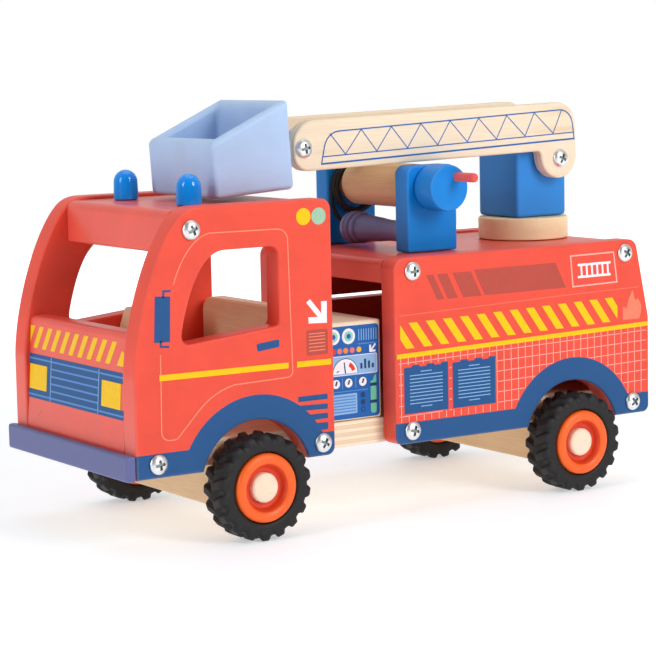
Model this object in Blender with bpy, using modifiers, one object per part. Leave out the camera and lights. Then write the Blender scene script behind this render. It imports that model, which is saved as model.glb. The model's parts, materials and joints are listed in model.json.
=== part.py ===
"""Wooden toy fire engine with a turning boom, a tilting basket and a hose winch.

Frame: +X forward, +Y to the engine's left, +Z up, origin on the floor under the middle.
Lengths are in millimetres here. MM turns them into metres where the meshes are made.
"""
import math

import bmesh
import bpy
from mathutils import Matrix, Vector
from mathutils.geometry import interpolate_bezier

MM = 0.001
GAP = 0.3                # clearance between pieces that touch

# Boards and the main box
BOARD = 12.5
HALF_WIDTH = 66.0        # outer faces of the side boards
INNER = HALF_WIDTH - BOARD
SPAN = INNER - GAP       # half width of what sits between the side boards
PANEL_BOTTOM = 37.6
CAB_FRONT = 161.3
CAB_REAR = 45.8
CAB_TOP = 168.9
BODY_FRONT = 7.5
BODY_REAR = -166.6
BODY_TOP = 135.5
CHASSIS_LOW = 37.9
CHASSIS_TOP = 51.4
CHASSIS_FRONT = 157.4    # the grille board's lip hangs in front of it
ON_CHASSIS = CHASSIS_TOP + GAP
DECK_TOP = 134.2
ROOF_TOP = 167.0
BEACON_R = 6.3
BEACON_TOP = 183.0
HEADER_FRONT = 133.7
HEADER_LOW = 145.4
BUMPER_FRONT = 166.7
BUMPER_LOW = 37.2
BUMPER_TOP = 50.2

# Wheels
WHEEL_X = {"front": 92.8, "rear": -111.2}
TYRE_R = 27.1
AXLE_Z = TYRE_R
AXLE_R = 7.7
HUB_R = 17.6
ARCH_R = 32.2
ARCH_Z = 28.4
AXLE_END = 73.5
HUB_FACE = 75.4
BLOCK_HALF = 16.5
BLOCK_LOW = 15.8

# Screws in each side board: x and z of the cab's three and the body's four
SCREW_R = 5.0
SHANK_R = 2.2
SCREW_DEPTH = 22.0
CAB_SCREWS = ((149.4, 44.6), (53.5, 44.6), (127.6, 157.6))
BODY_SCREWS = ((-2.7, 44.6), (-154.1, 44.6), (-4.0, 128.2), (-148.8, 128.2))

# Turntable and boom. The boom is drawn about its pivot, x along it and z across it.
TURRET_X = -129.9
DISC_R = 25.6
DISC_TOP = DECK_TOP + GAP + BOARD
TURRET_HALF_Y = 18.0
TURRET_ENDS = (-147.1, -111.7)
TURRET_TOP = 187.5
PIN_R = 4.0
PIVOT = (-135.9, 180.1)
BOOM_SLOPE = math.radians(1.5)
BOOM_FRONT = 177.1
BOOM_REAR = -12.1
BOOM_LOW = 4.8
BOOM_HIGH = 31.3
PLATE = 8.0
PLATE_IN = 18.4
BOLT_R = 3.0
BASKET_BOLT = (171.3, 16.8)

# Basket, drawn about its bolt
BASKET_SLOPE = math.radians(3.6)
BASKET_REAR = 11.6
BASKET_FRONT = 59.3
BASKET_LOW = -19.5
BASKET_FRONT_TOP = 8.8
BASKET_REAR_TOP = 27.0
BASKET_HALF = 33.6
BASKET_WALL = 6.5
BASKET_FLOOR = 7.0

# Winch
WINCH = (-39.4, 169.0)   # x and z of its axis
POST_HALF_X = 16.4
POST_TOP = 180.9
NEAR_POST = (24.3, 36.3)
FAR_POST = (-53.0, -41.0)
DRUM_R = 12.0
SPINDLE_R = 4.0
CRANK_R = 12.4
CRANK = (36.7, 52.0)
PEG_R = 2.5
PEG_OFFSET = (-5.0, 5.8)
CORD_R = 1.1
COIL = (-40.7, -33.6)
COIL_R = (12.2, 15.0)    # the cord is wound loosely, so its turns hang below the drum
COIL_Z = 166.8
COIL_SEAT_R = 9.4        # waist of the drum that the coil hangs on
NOZZLE = (-31.0, 144.8)  # x and z of its axis
NOZZLE_END = -29.5
NOZZLE_TIP = 27.5
NOZZLE_TIP_R = 5.6

# Hand-set route of the hose from the coil to the nozzle
HOSE_ROUTE = (
    (-25.1, -39.6, 158.6), (-26.1, -39.7, 154.9), (-28.0, -39.3, 151.3), (-29.7, -38.1, 148.2),
    (-30.7, -36.2, 146.0), (-31.0, -33.4, 144.9), (-31.0, -29.8, 144.8),
)

for old in list(bpy.data.objects):
    bpy.data.objects.remove(old, do_unlink=True)

PARTS = bpy.data.collections.new("toy_fire_engine")
CUTTERS = bpy.data.collections.new("cutters")
for folder in (PARTS, CUTTERS):
    bpy.context.scene.collection.children.link(folder)


def paint(name, colour, roughness, metallic=0.0):
    """A Principled material of one colour."""
    material = bpy.data.materials.new(name)
    material.use_nodes = True
    shader = material.node_tree.nodes["Principled BSDF"]
    shader.inputs["Base Color"].default_value = (*colour, 1.0)
    shader.inputs["Roughness"].default_value = roughness
    shader.inputs["Metallic"].default_value = metallic
    return material


RED = paint("red_paint", (0.85, 0.09, 0.05), 0.4)
BLUE = paint("blue_paint", (0.02, 0.20, 0.62), 0.35)
LAVENDER = paint("lavender_paint", (0.17, 0.18, 0.40), 0.45)
PALE_BLUE = paint("pale_blue_paint", (0.48, 0.58, 0.80), 0.45)
PEG_RED = paint("peg_red_paint", (0.85, 0.12, 0.10), 0.4)
PLY = paint("birch_ply", (0.90, 0.76, 0.55), 0.6)
BEECH = paint("beech", (0.78, 0.52, 0.28), 0.55)
RUBBER = paint("black_rubber", (0.03, 0.03, 0.03), 0.8)
ORANGE = paint("orange_plastic", (1.0, 0.16, 0.01), 0.35)
ZINC = paint("zinc_steel", (0.75, 0.76, 0.78), 0.3, 1.0)
GREY = paint("grey_lavender_paint", (0.24, 0.24, 0.38), 0.45)
CORD = paint("black_cord", (0.02, 0.02, 0.02), 0.8)


def add_part(name, mesh, material, location=(0.0, 0.0, 0.0), rotation=(0.0, 0.0, 0.0)):
    """Put a mesh in the parts collection as the named piece, location in millimetres."""
    obj = bpy.data.objects.new(name, mesh)
    mesh.materials.append(material)
    obj.location = Vector(location) * MM
    obj.rotation_euler = rotation
    PARTS.objects.link(obj)
    return obj


def soften(obj, width, segments=1):
    """Round the piece's sharp edges."""
    bevel = obj.modifiers.new("soft_edges", "BEVEL")
    bevel.width = width * MM
    bevel.segments = segments
    bevel.limit_method = "ANGLE"
    bevel.angle_limit = math.radians(50.0)
    return obj


def box_mesh(name, low, high):
    """A box mesh between two corners."""
    mesh = bpy.data.meshes.new(name)
    shape = bmesh.new()
    size = Vector(high) - Vector(low)
    centre = (Vector(high) + Vector(low)) / 2
    place = Matrix.Translation(centre * MM) @ Matrix.Diagonal((*(size * MM), 1.0))
    bmesh.ops.create_cube(shape, size=1.0, matrix=place)
    shape.to_mesh(mesh)
    shape.free()
    return mesh


def box(name, low, high, material, edge=1.0):
    """A board with soft edges between two corners."""
    return soften(add_part(name, box_mesh(name, low, high), material), edge)


def arc(cx, cz, radius, start, end, count):
    """Points along an arc, angles in degrees, both ends included."""
    steps = [math.radians(start + (end - start) * i / (count - 1)) for i in range(count)]
    return [(cx + radius * math.cos(a), cz + radius * math.sin(a)) for a in steps]


def rounded(corners, count=4):
    """An outline through corners given as (x, z, radius)."""
    points = []
    for i, (x, z, radius) in enumerate(corners):
        here = Vector((x, z))
        if radius == 0:
            points.append((x, z))
            continue
        back = (Vector(corners[i - 1][:2]) - here).normalized()
        ahead = (Vector(corners[(i + 1) % len(corners)][:2]) - here).normalized()
        half = back.angle(ahead) / 2
        centre = here + (back + ahead).normalized() * radius / math.sin(half)
        first = here + back * radius / math.tan(half) - centre
        last = here + ahead * radius / math.tan(half) - centre
        start = math.atan2(first.y, first.x)
        sweep = math.remainder(math.atan2(last.y, last.x) - start, 2 * math.pi)
        points += arc(*centre, radius, math.degrees(start), math.degrees(start + sweep), count)
    return points


def circle(cx, cz, radius, count=12):
    """A closed ring of points."""
    return arc(cx, cz, radius, 0, 360, count + 1)[:-1]


def sheet_mesh(name, loops, thickness):
    """A flat outline in XZ with its holes, thickened evenly along Y, as a welded mesh."""
    curve = bpy.data.curves.new(name, "CURVE")
    curve.dimensions = "2D"
    curve.fill_mode = "BOTH"
    curve.extrude = thickness / 2 * MM
    for loop in loops:
        spline = curve.splines.new("POLY")
        spline.points.add(len(loop) - 1)
        for point, (x, z) in zip(spline.points, loop):
            point.co = (x * MM, z * MM, 0.0, 1.0)
        spline.use_cyclic_u = True
    guide = bpy.data.objects.new(name + "_outline", curve)
    PARTS.objects.link(guide)
    bpy.context.view_layer.update()
    solid = guide.evaluated_get(bpy.context.evaluated_depsgraph_get())
    mesh = bpy.data.meshes.new_from_object(solid)
    bpy.data.objects.remove(guide, do_unlink=True)
    mesh.transform(Matrix.Rotation(math.pi / 2, 4, "X"))
    shape = bmesh.new()
    shape.from_mesh(mesh)
    bmesh.ops.remove_doubles(shape, verts=shape.verts, dist=1e-6)
    bmesh.ops.recalc_face_normals(shape, faces=shape.faces)
    shape.to_mesh(mesh)
    shape.free()
    mesh.name = name
    return mesh


def side_board(name, loops, y0, y1, material, edge=1.2):
    """A board in the XZ plane between two y values."""
    mesh = sheet_mesh(name, loops, y1 - y0)
    return soften(add_part(name, mesh, material, (0.0, (y0 + y1) / 2, 0.0)), edge)


def turned(name, profile, material, location, axis="Z", steps=24, closed=False):
    """A turned piece. profile is (radius, height) and runs down the outer side.
    axis is Z, Y for a shape that points to +Y, or -Y for one that points to -Y."""
    mesh = bpy.data.meshes.new(name)
    points = [(radius * MM, 0.0, height * MM) for radius, height in profile]
    edges = [(i, i + 1) for i in range(len(points) - 1)]
    if closed:
        edges.append((len(points) - 1, 0))
    mesh.from_pydata(points, edges, [])
    turn = {"Z": 0.0, "Y": -math.pi / 2, "-Y": math.pi / 2}[axis]
    obj = add_part(name, mesh, material, location, (turn, 0.0, 0.0))
    screw = obj.modifiers.new("turn", "SCREW")
    screw.steps = steps
    screw.render_steps = steps
    screw.use_merge_vertices = True
    screw.merge_threshold = 1e-6
    screw.use_smooth_shade = True
    return obj


def cut_with(target, cutter):
    """Cut a piece with another object, which moves to the cutters collection."""
    for folder in list(cutter.users_collection):
        folder.objects.unlink(cutter)
    CUTTERS.objects.link(cutter)
    cutter.hide_render = True
    cutter.display_type = "WIRE"
    cut = target.modifiers.new("cut", "BOOLEAN")
    cut.operation = "DIFFERENCE"
    cut.solver = "EXACT"
    cut.object = cutter


def drill(target, start, end, radius, steps=12):
    """Bore a round hole between two points of the engine."""
    start = Vector(start) * MM
    end = Vector(end) * MM
    mesh = bpy.data.meshes.new(target.name + "_bore")
    shape = bmesh.new()
    bmesh.ops.create_cone(
        shape, cap_ends=True, segments=steps, radius1=radius * MM, radius2=radius * MM,
        depth=(end - start).length)
    shape.to_mesh(mesh)
    shape.free()
    bore = bpy.data.objects.new(mesh.name, mesh)
    bore.location = (start + end) / 2
    bore.rotation_euler = (end - start).to_track_quat("Z", "Y").to_euler()
    PARTS.objects.link(bore)
    cut_with(target, bore)


def at_pivot(pivot, slope, x, z):
    """Engine x and z of a point drawn about a pivot whose x axis dips by slope."""
    forward = x * math.cos(slope) + z * math.sin(slope)
    up = -x * math.sin(slope) + z * math.cos(slope)
    return pivot[0] + forward, pivot[1] + up


def arch_notch(wheel_x, low):
    """The wheel arch as part of an outline, from its front foot to its rear foot."""
    foot = math.degrees(math.asin((low - ARCH_Z) / ARCH_R))
    return arc(wheel_x, ARCH_Z, ARCH_R, foot, 180 - foot, 15)


def cab_outline():
    """Outline of a cab side: upright front, leaning windscreen edge, square back."""
    lean = interpolate_bezier(
        Vector((CAB_FRONT, 86.0)), Vector((160.5, 112.0)), Vector((148.0, 150.0)),
        Vector((135.0, 163.6)), 9)
    brow = interpolate_bezier(
        Vector((135.0, 163.6)), Vector((130.5, 168.3)), Vector((126.0, CAB_TOP)),
        Vector((120.0, CAB_TOP)), 5)
    back = rounded([(120.0, CAB_TOP, 0), (CAB_REAR, CAB_TOP, 5.5), (CAB_REAR, PANEL_BOTTOM, 4.5),
                    (CAB_FRONT, PANEL_BOTTOM, 0)])[1:-1]
    front = [(CAB_FRONT, PANEL_BOTTOM)]
    notch = list(reversed(arch_notch(WHEEL_X["front"], PANEL_BOTTOM)))
    curve = [tuple(p) for p in lean] + [tuple(p) for p in brow[1:]]
    return front + curve + back + notch


def window_outline():
    """Side window: leaning round front edge, sill that falls towards the front."""
    sill = rounded([(77.9, 106.9, 2.5), (77.9, 146.6, 4.5), (108.0, 146.6, 0),
                    (134.6, 101.4, 4.0)])
    lean = interpolate_bezier(
        Vector((108.0, 146.6)), Vector((119.0, 146.6)), Vector((127.5, 135.0)),
        Vector((133.6, 109.0)), 8)
    corner = sill.index((108.0, 146.6))
    return sill[:corner] + [tuple(p) for p in lean] + sill[corner + 1:]


def body_outline():
    """Outline of a rear body side: the rear edge leans in above the waist."""
    shell = rounded([(BODY_FRONT, PANEL_BOTTOM, 4.0), (BODY_FRONT, BODY_TOP, 6.5),
                     (-157.3, BODY_TOP, 6.0), (BODY_REAR, 91.5, 12.0),
                     (BODY_REAR, PANEL_BOTTOM, 4.0)])
    return shell + list(reversed(arch_notch(WHEEL_X["rear"], PANEL_BOTTOM)))


def screw_holes(places):
    """Round holes for the screws of a side board."""
    return [circle(x, z, SHANK_R + GAP, 10) for x, z in places]


def make_frame():
    """Chassis, deck, tail board and the two blocks that carry the axles."""
    chassis = box("chassis_board", (-166.0, -SPAN, CHASSIS_LOW),
                  (CHASSIS_FRONT, SPAN, CHASSIS_TOP), PLY)
    deck = box("deck_board", (-157.6, -SPAN, DECK_TOP - BOARD), (7.0, SPAN, DECK_TOP), RED, 3.0)
    box("tail_board", (-160.0, -SPAN, ON_CHASSIS), (-147.5, SPAN, DECK_TOP - BOARD - GAP), RED)
    for side in (1, -1):
        inner = side * (HALF_WIDTH - SCREW_DEPTH - 1.0)
        for x, z in CAB_SCREWS[:2] + BODY_SCREWS[:2]:
            drill(chassis, (x, side * 56.0, z), (x, inner, z), SHANK_R + GAP, 10)
        for x, z in BODY_SCREWS[2:]:
            drill(deck, (x, side * 56.0, z), (x, inner, z), SHANK_R + GAP, 10)
    drill(deck, (TURRET_X, 0, DECK_TOP + 5), (TURRET_X, 0, DECK_TOP - 20), PIN_R + GAP)
    for end, x in WHEEL_X.items():
        block = box(end + "_axle_block", (x - BLOCK_HALF, -52.0, BLOCK_LOW),
                    (x + BLOCK_HALF, 52.0, CHASSIS_LOW - GAP), PLY)
        drill(block, (x, -60.0, AXLE_Z), (x, 60.0, AXLE_Z), AXLE_R + GAP, 20)


def make_cab():
    """Cab sides, roof, grille board, bumper, seat, beacons and the pump box behind it."""
    loops = [cab_outline(), window_outline()] + screw_holes(CAB_SCREWS)
    side_board("cab_side_left", loops, INNER, HALF_WIDTH, RED)
    side_board("cab_side_right", loops, -HALF_WIDTH, -INNER, RED)
    roof_low = ROOF_TOP - BOARD
    roof_line = rounded([(CAB_REAR + GAP, roof_low, 0), (121.2, roof_low, 0),
                         (121.2, HEADER_LOW, 1), (HEADER_FRONT, HEADER_LOW, 1),
                         (HEADER_FRONT, ROOF_TOP, 4.0), (CAB_REAR + GAP, ROOF_TOP, 1)])
    roof = add_part("cab_roof", sheet_mesh("cab_roof", [roof_line], 2 * SPAN), RED)
    x, z = CAB_SCREWS[2]
    for side in (1, -1):
        inner = side * (HALF_WIDTH - SCREW_DEPTH - 1.0)
        drill(roof, (x, side * 56.0, z), (x, inner, z), SHANK_R + GAP, 10)
    lip = CHASSIS_FRONT + GAP
    grille = rounded([(161.1, 46.0, 0), (161.1, 50.3, 0), (157.0, 108.2, 3.0),
                      (144.5, 108.2, 3.0), (148.5, ON_CHASSIS, 0), (lip, ON_CHASSIS, 0),
                      (lip, 46.0, 0)])
    side_board("grille_panel", [grille], -SPAN, SPAN, RED, 0.6)
    box("bumper", (161.6, -HALF_WIDTH, BUMPER_LOW), (BUMPER_FRONT, HALF_WIDTH, BUMPER_TOP), LAVENDER)
    back_line = rounded([(-SPAN, ON_CHASSIS, 0), (SPAN, ON_CHASSIS, 0), (SPAN, 110.5, 8.0),
                         (-SPAN, 110.5, 8.0)])
    back = add_part("seat_back", sheet_mesh("seat_back", [back_line], 10.0), PLY,
                    (48.3, 0.0, 0.0), (0.0, 0.0, math.pi / 2))
    soften(back, 1.5)
    seat = rounded([(121.0, ON_CHASSIS, 0), (101.2, 108.1, 1.5), (84.0, 108.1, 1.5),
                    (84.0, ON_CHASSIS, 0)], 3)
    side_board("seat_block", [seat], -SPAN, -33.0, PLY, 1.0)
    box("pump_box", (BODY_FRONT + GAP, -SPAN, ON_CHASSIS), (43.0, SPAN, 103.4), PLY)
    dome = arc(0.0, BEACON_TOP - BEACON_R, BEACON_R, 90, 0, 5)
    beacon = [(max(0.0, r), h) for r, h in dome]
    beacon += [(BEACON_R, ROOF_TOP + GAP), (0.0, ROOF_TOP + GAP)]
    for name, y in (("beacon_left", 33.0), ("beacon_right", -33.0)):
        turned(name, beacon, BLUE, (109.2, y, 0.0), "Z", 20)


def make_body():
    """The rear body's sides. The right one has a long slot under the deck."""
    outline = body_outline()
    holes = screw_holes(BODY_SCREWS)
    slot = rounded([(-15.0, 100.7, 1.8), (-15.0, 104.5, 1.8), (-95.0, 104.5, 1.8),
                    (-95.0, 100.7, 1.8)])
    side_board("rear_side_left", [outline] + holes, INNER, HALF_WIDTH, RED)
    side_board("rear_side_right", [outline, slot] + holes, -HALF_WIDTH, -INNER, RED)


def make_screws():
    """Pan-head screws of the side boards, one piece each."""
    head = [(0.0, 2.5), (3.6, 2.0), (SCREW_R, 0.9), (SCREW_R, GAP), (SHANK_R, GAP),
            (SHANK_R, 1.0 - SCREW_DEPTH), (0.0, -SCREW_DEPTH)]
    places = [("cab_screw", CAB_SCREWS), ("body_screw", BODY_SCREWS)]
    for side, axis in ((1, "Y"), (-1, "-Y")):
        hand = "left" if side > 0 else "right"
        for label, group in places:
            for number, (x, z) in enumerate(group, 1):
                turned(f"{label}_{hand}_{number}", head, ZINC, (x, side * HALF_WIDTH, z), axis, 12)


def make_wheels():
    """Two axles, each with two hubs and two tyres."""
    axle = [(0.0, AXLE_END), (AXLE_R - 0.8, AXLE_END), (AXLE_R, AXLE_END - 0.8),
            (AXLE_R, 0.8 - AXLE_END), (AXLE_R - 0.8, -AXLE_END), (0.0, -AXLE_END)]
    hub = [(11.6, 71.4), (13.2, HUB_FACE), (16.4, HUB_FACE), (HUB_R, HUB_FACE - 1.2),
           (HUB_R, 57.6), (AXLE_R + GAP, 57.6), (AXLE_R + GAP, 71.4)]
    bore = HUB_R + GAP
    tyre = [(bore, 73.2), (21.0, 74.1), (25.3, 72.9), (TYRE_R, 69.0),
            (TYRE_R, 61.6), (25.3, 57.6), (21.0, 56.4), (bore, 57.2)]
    for end, x in WHEEL_X.items():
        place = (x, 0.0, AXLE_Z)
        turned(end + "_axle", axle, BEECH, place, "Y", 20)
        for hand, axis in (("left", "Y"), ("right", "-Y")):
            turned(f"{end}_hub_{hand}", hub, ORANGE, place, axis, 28, closed=True)
            turned(f"{end}_tyre_{hand}", tyre, RUBBER, place, axis, 28, closed=True)


def make_turret():
    """Turntable disc, the post on it and the pin they turn on."""
    turned("turntable_disc", [
        (PIN_R + GAP, DISC_TOP), (DISC_R - 1.0, DISC_TOP), (DISC_R, DISC_TOP - 1.0),
        (DISC_R, DECK_TOP + GAP + 0.6), (DISC_R - 0.6, DECK_TOP + GAP),
        (PIN_R + GAP, DECK_TOP + GAP)], BEECH, (TURRET_X, 0.0, 0.0), "Z", 32, closed=True)
    block = box("turret_block", (TURRET_ENDS[0], -TURRET_HALF_Y, DISC_TOP + GAP),
                (TURRET_ENDS[1], TURRET_HALF_Y, TURRET_TOP), BLUE, 2.0)
    x, z = PIVOT
    drill(block, (x, -30.0, z), (x, 30.0, z), BOLT_R + GAP)
    drill(block, (TURRET_X, 0.0, DISC_TOP - 5.0), (TURRET_X, 0.0, 162.0), PIN_R + GAP)
    turned("turret_pin", [(0.0, 161.5), (PIN_R, 161.5), (PIN_R, 122.0), (0.0, 122.0)], BEECH,
           (TURRET_X, 0.0, 0.0), "Z", 12)


def bolt_profile():
    """A bolt across the boom with a pan head at each end."""
    face = PLATE_IN + PLATE + GAP
    head = [(0.0, face + 2.2), (3.6, face + 1.8), (SCREW_R, face + 0.7), (SCREW_R, face),
            (BOLT_R, face)]
    return head + [(radius, -height) for radius, height in reversed(head)]


def make_boom():
    """Two boom plates with a lug at the rear, and the bolts through them."""
    low_rear = arc(0.4, 1.4, 12.5, 180, 352, 10)
    plate_line = low_rear + rounded([
        (13.6, BOOM_LOW, 0), (BOOM_FRONT, BOOM_LOW, 9.0), (BOOM_FRONT, BOOM_HIGH, 13.0),
        (BOOM_REAR, BOOM_HIGH, 12.5)], 5)
    holes = [circle(0.0, 0.0, BOLT_R + GAP), circle(*BASKET_BOLT, BOLT_R + GAP)]
    for name, side in (("boom_plate_left", 1), ("boom_plate_right", -1)):
        mesh = sheet_mesh(name, [plate_line] + holes, PLATE)
        y = side * (PLATE_IN + PLATE / 2)
        plate = add_part(name, mesh, PLY, (PIVOT[0], y, PIVOT[1]), (0.0, BOOM_SLOPE, 0.0))
        soften(plate, 0.8)
    turned("boom_bolt", bolt_profile(), ZINC, (PIVOT[0], 0.0, PIVOT[1]), "Y", 12)
    x, z = at_pivot(PIVOT, BOOM_SLOPE, *BASKET_BOLT)
    turned("basket_bolt", bolt_profile(), ZINC, (x, 0.0, z), "Y", 12)


def make_basket():
    """The rescue basket and the tongue that holds it between the boom plates."""
    x, z = at_pivot(PIVOT, BOOM_SLOPE, *BASKET_BOLT)
    place = (x, 0.0, z)
    tilt = (0.0, BASKET_SLOPE, 0.0)
    shell = [(BASKET_REAR, BASKET_LOW), (BASKET_FRONT, BASKET_LOW),
             (BASKET_FRONT, BASKET_FRONT_TOP), (BASKET_REAR, BASKET_REAR_TOP)]
    basket = add_part("basket", sheet_mesh("basket", [shell], 2 * BASKET_HALF), PALE_BLUE,
                      place, tilt)
    soften(basket, 2.5, 2)
    hollow = box_mesh("basket_hollow", (
        BASKET_REAR + BASKET_WALL, BASKET_WALL - BASKET_HALF, BASKET_LOW + BASKET_FLOOR), (
        BASKET_FRONT - BASKET_WALL, BASKET_HALF - BASKET_WALL, BASKET_REAR_TOP + 10.0))
    cut_with(basket, add_part("basket_hollow", hollow, PALE_BLUE, place, tilt))
    eye = arc(0.0, 0.0, 9.5, 90, 270, 9)
    tongue_line = eye + [(BASKET_REAR - GAP, -9.5), (BASKET_REAR - GAP, 9.5)]
    loops = [tongue_line, circle(0.0, 0.0, BOLT_R + GAP)]
    tongue = sheet_mesh("basket_tongue", loops, 2 * TURRET_HALF_Y)
    add_part("basket_tongue", tongue, PALE_BLUE, place, tilt)


def make_winch():
    """Two posts, the drum on its spindle, and the crank disc with its peg."""
    x, z = WINCH
    post_line = rounded([
        (x - POST_HALF_X, DECK_TOP + GAP, 1.5), (x + POST_HALF_X, DECK_TOP + GAP, 1.5),
        (x + POST_HALF_X, POST_TOP, 5.0), (x - POST_HALF_X, POST_TOP, 5.0)])
    loops = [post_line, circle(x, z, SPINDLE_R + 0.4)]
    near = side_board("winch_post_left", loops, *NEAR_POST, BLUE, 1.0)
    side_board("winch_post_right", loops, *FAR_POST, BLUE, 1.0)
    socket = (NOZZLE[0], NEAR_POST[0] - 3.0, NOZZLE[1])
    drill(near, socket, (NOZZLE[0], NEAR_POST[0] + 4.0, NOZZLE[1]), NOZZLE_TIP_R + 0.4)
    place = (x, 0.0, z)
    drum_ends = (FAR_POST[1] + 0.4, NEAR_POST[0] - GAP)
    turned("winch_drum", [
        (SPINDLE_R + GAP, drum_ends[1]), (DRUM_R, drum_ends[1]), (DRUM_R, COIL[1] + GAP),
        (COIL_SEAT_R, COIL[1] + GAP), (COIL_SEAT_R, drum_ends[0]),
        (SPINDLE_R + GAP, drum_ends[0])], BEECH, place, "Y", 24, closed=True)
    turned("winch_spindle", [(0.0, 46.5), (SPINDLE_R, 46.5), (SPINDLE_R, -52.8), (0.0, -52.8)],
           BEECH, place, "Y", 12)
    crank = turned("crank_disc", [
        (0.0, CRANK[1]), (CRANK_R - 1.0, CRANK[1]), (CRANK_R, CRANK[1] - 1.0),
        (CRANK_R, CRANK[0] + 0.8), (CRANK_R - 0.8, CRANK[0]), (0.0, CRANK[0])],
        BLUE, place, "Y", 24)
    drill(crank, (x, CRANK[0] - 3.0, z), (x, 46.9, z), SPINDLE_R + GAP)
    peg_x = x + PEG_OFFSET[0]
    peg_z = z + PEG_OFFSET[1]
    drill(crank, (peg_x, 45.0, peg_z), (peg_x, CRANK[1] + 3.0, peg_z), PEG_R + GAP, 12)
    turned("crank_peg", [(0.0, 68.6), (1.4, 68.4), (PEG_R, 67.3), (PEG_R, 45.4), (0.0, 45.4)],
           PEG_RED, (peg_x, 0.0, peg_z), "Y", 12)
    turned("hose_coil", [
        (COIL_R[0], COIL[1]), (COIL_R[1] - 0.8, COIL[1]), (COIL_R[1], COIL[1] - 0.8),
        (COIL_R[1], COIL[0] + 0.8), (COIL_R[1] - 0.8, COIL[0]), (COIL_R[0], COIL[0])],
        CORD, (x, 0.0, COIL_Z), "Y", 24, closed=True)


def smooth_route(route, count):
    """A Catmull-Rom curve through the route's points, count steps to a stretch."""
    points = [Vector(p) for p in route]
    points = [2 * points[0] - points[1]] + points + [2 * points[-1] - points[-2]]
    out = []
    for i in range(1, len(points) - 2):
        a, b, c, d = points[i - 1:i + 3]
        for step in range(count):
            t = step / count
            out.append(0.5 * (2 * b + (c - a) * t + (2 * a - 5 * b + 4 * c - d) * t ** 2
                              + (3 * b - a - 3 * c + d) * t ** 3))
    return out + [points[-2]]


def make_hose():
    """The nozzle that lies on the deck and the free end of the hose that goes into it."""
    x, z = NOZZLE
    end = NOZZLE_END
    down = [(0.0, NOZZLE_TIP), (NOZZLE_TIP_R, NOZZLE_TIP), (5.8, 0.0), (7.0, end + 14.0),
            (8.4, end + 11.6), (8.4, end + 9.4), (7.5, end + 8.2), (9.0, end + 6.2),
            (9.0, end + 2.4), (7.4, end), (0.0, end)]
    turned("nozzle", down, GREY, (x, 0.0, z), "Y", 20)
    curve = bpy.data.curves.new("hose_lead", "CURVE")
    curve.dimensions = "3D"
    curve.bevel_depth = CORD_R * MM
    curve.bevel_resolution = 2
    curve.use_fill_caps = True
    points = smooth_route(HOSE_ROUTE, 2)
    spline = curve.splines.new("POLY")
    spline.points.add(len(points) - 1)
    for point, place in zip(spline.points, points):
        point.co = (*(place * MM), 1.0)
    curve.materials.append(CORD)
    PARTS.objects.link(bpy.data.objects.new("hose_lead", curve))


make_frame()
make_cab()
make_body()
make_screws()
make_wheels()
make_turret()
make_boom()
make_basket()
make_winch()
make_hose()
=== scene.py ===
"""Looks of the wooden toy fire engine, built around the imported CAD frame.

+X is forward, +Y the engine's left, +Z up. Lengths are in millimetres until a mesh is made.
"""
import json
import math

import bmesh
import bpy
from mathutils import Matrix, Vector
from mathutils.geometry import interpolate_bezier, tessellate_polygon

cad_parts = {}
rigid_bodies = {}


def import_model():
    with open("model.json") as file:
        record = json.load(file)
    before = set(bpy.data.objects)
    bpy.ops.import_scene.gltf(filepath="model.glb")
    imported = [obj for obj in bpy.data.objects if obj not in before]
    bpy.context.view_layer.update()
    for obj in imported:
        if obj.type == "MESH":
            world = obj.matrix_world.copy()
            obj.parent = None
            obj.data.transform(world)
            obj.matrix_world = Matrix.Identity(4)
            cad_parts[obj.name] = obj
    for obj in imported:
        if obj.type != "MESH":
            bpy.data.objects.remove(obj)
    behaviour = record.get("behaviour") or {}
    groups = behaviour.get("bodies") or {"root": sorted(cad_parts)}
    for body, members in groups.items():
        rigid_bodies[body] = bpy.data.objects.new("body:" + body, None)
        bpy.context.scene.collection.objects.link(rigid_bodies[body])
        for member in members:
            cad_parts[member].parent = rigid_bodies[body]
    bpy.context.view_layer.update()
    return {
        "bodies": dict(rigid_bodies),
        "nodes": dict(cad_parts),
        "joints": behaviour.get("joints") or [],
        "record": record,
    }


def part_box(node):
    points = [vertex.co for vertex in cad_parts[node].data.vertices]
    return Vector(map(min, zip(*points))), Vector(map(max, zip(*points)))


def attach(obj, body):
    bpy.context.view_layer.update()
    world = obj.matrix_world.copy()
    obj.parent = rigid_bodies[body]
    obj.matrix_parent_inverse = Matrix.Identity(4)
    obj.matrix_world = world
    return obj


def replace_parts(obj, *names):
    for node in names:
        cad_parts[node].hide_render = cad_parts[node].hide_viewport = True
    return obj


MM = 0.001
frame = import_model()
NODES = frame["nodes"]
SIDES = (("left", 1), ("right", -1))

# The CAD's driving sizes
BOARD = 12.5
RIM = 1.3
HALF_WIDTH = 66.0
INNER = HALF_WIDTH - BOARD
SPAN = INNER - 0.3
PANEL_BOTTOM = 37.6
CAB_FRONT = 161.3
CAB_REAR = 45.8
CAB_TOP = 168.9
BODY_FRONT = 7.5
BODY_REAR = -166.6
BODY_TOP = 135.5
DECK_TOP = 134.2
ROOF_TOP = 167.0
WHEEL_X = {"front": 92.8, "rear": -111.2}
AXLE_Z = 27.1
ARCH_R = 32.2
ARCH_Z = 28.4
FENDER_X = {"front": 92.8, "rear": -110.8}
FENDER_R = 44.8
GRILLE_FOOT = (161.1, 50.3)
GRILLE_HEAD = (157.0, 108.2)
SLOT_X = (-95.0, -15.0)
SLOT_Z = (101.3, 104.1)  # at its narrowest, between the rounded rims
CAB_SCREWS = ((149.4, 44.6), (53.5, 44.6), (127.6, 157.6))
BODY_SCREWS = ((-2.7, 44.6), (-154.1, 44.6), (-4.0, 128.2), (-148.8, 128.2))
TURRET_X = -129.9
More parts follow.
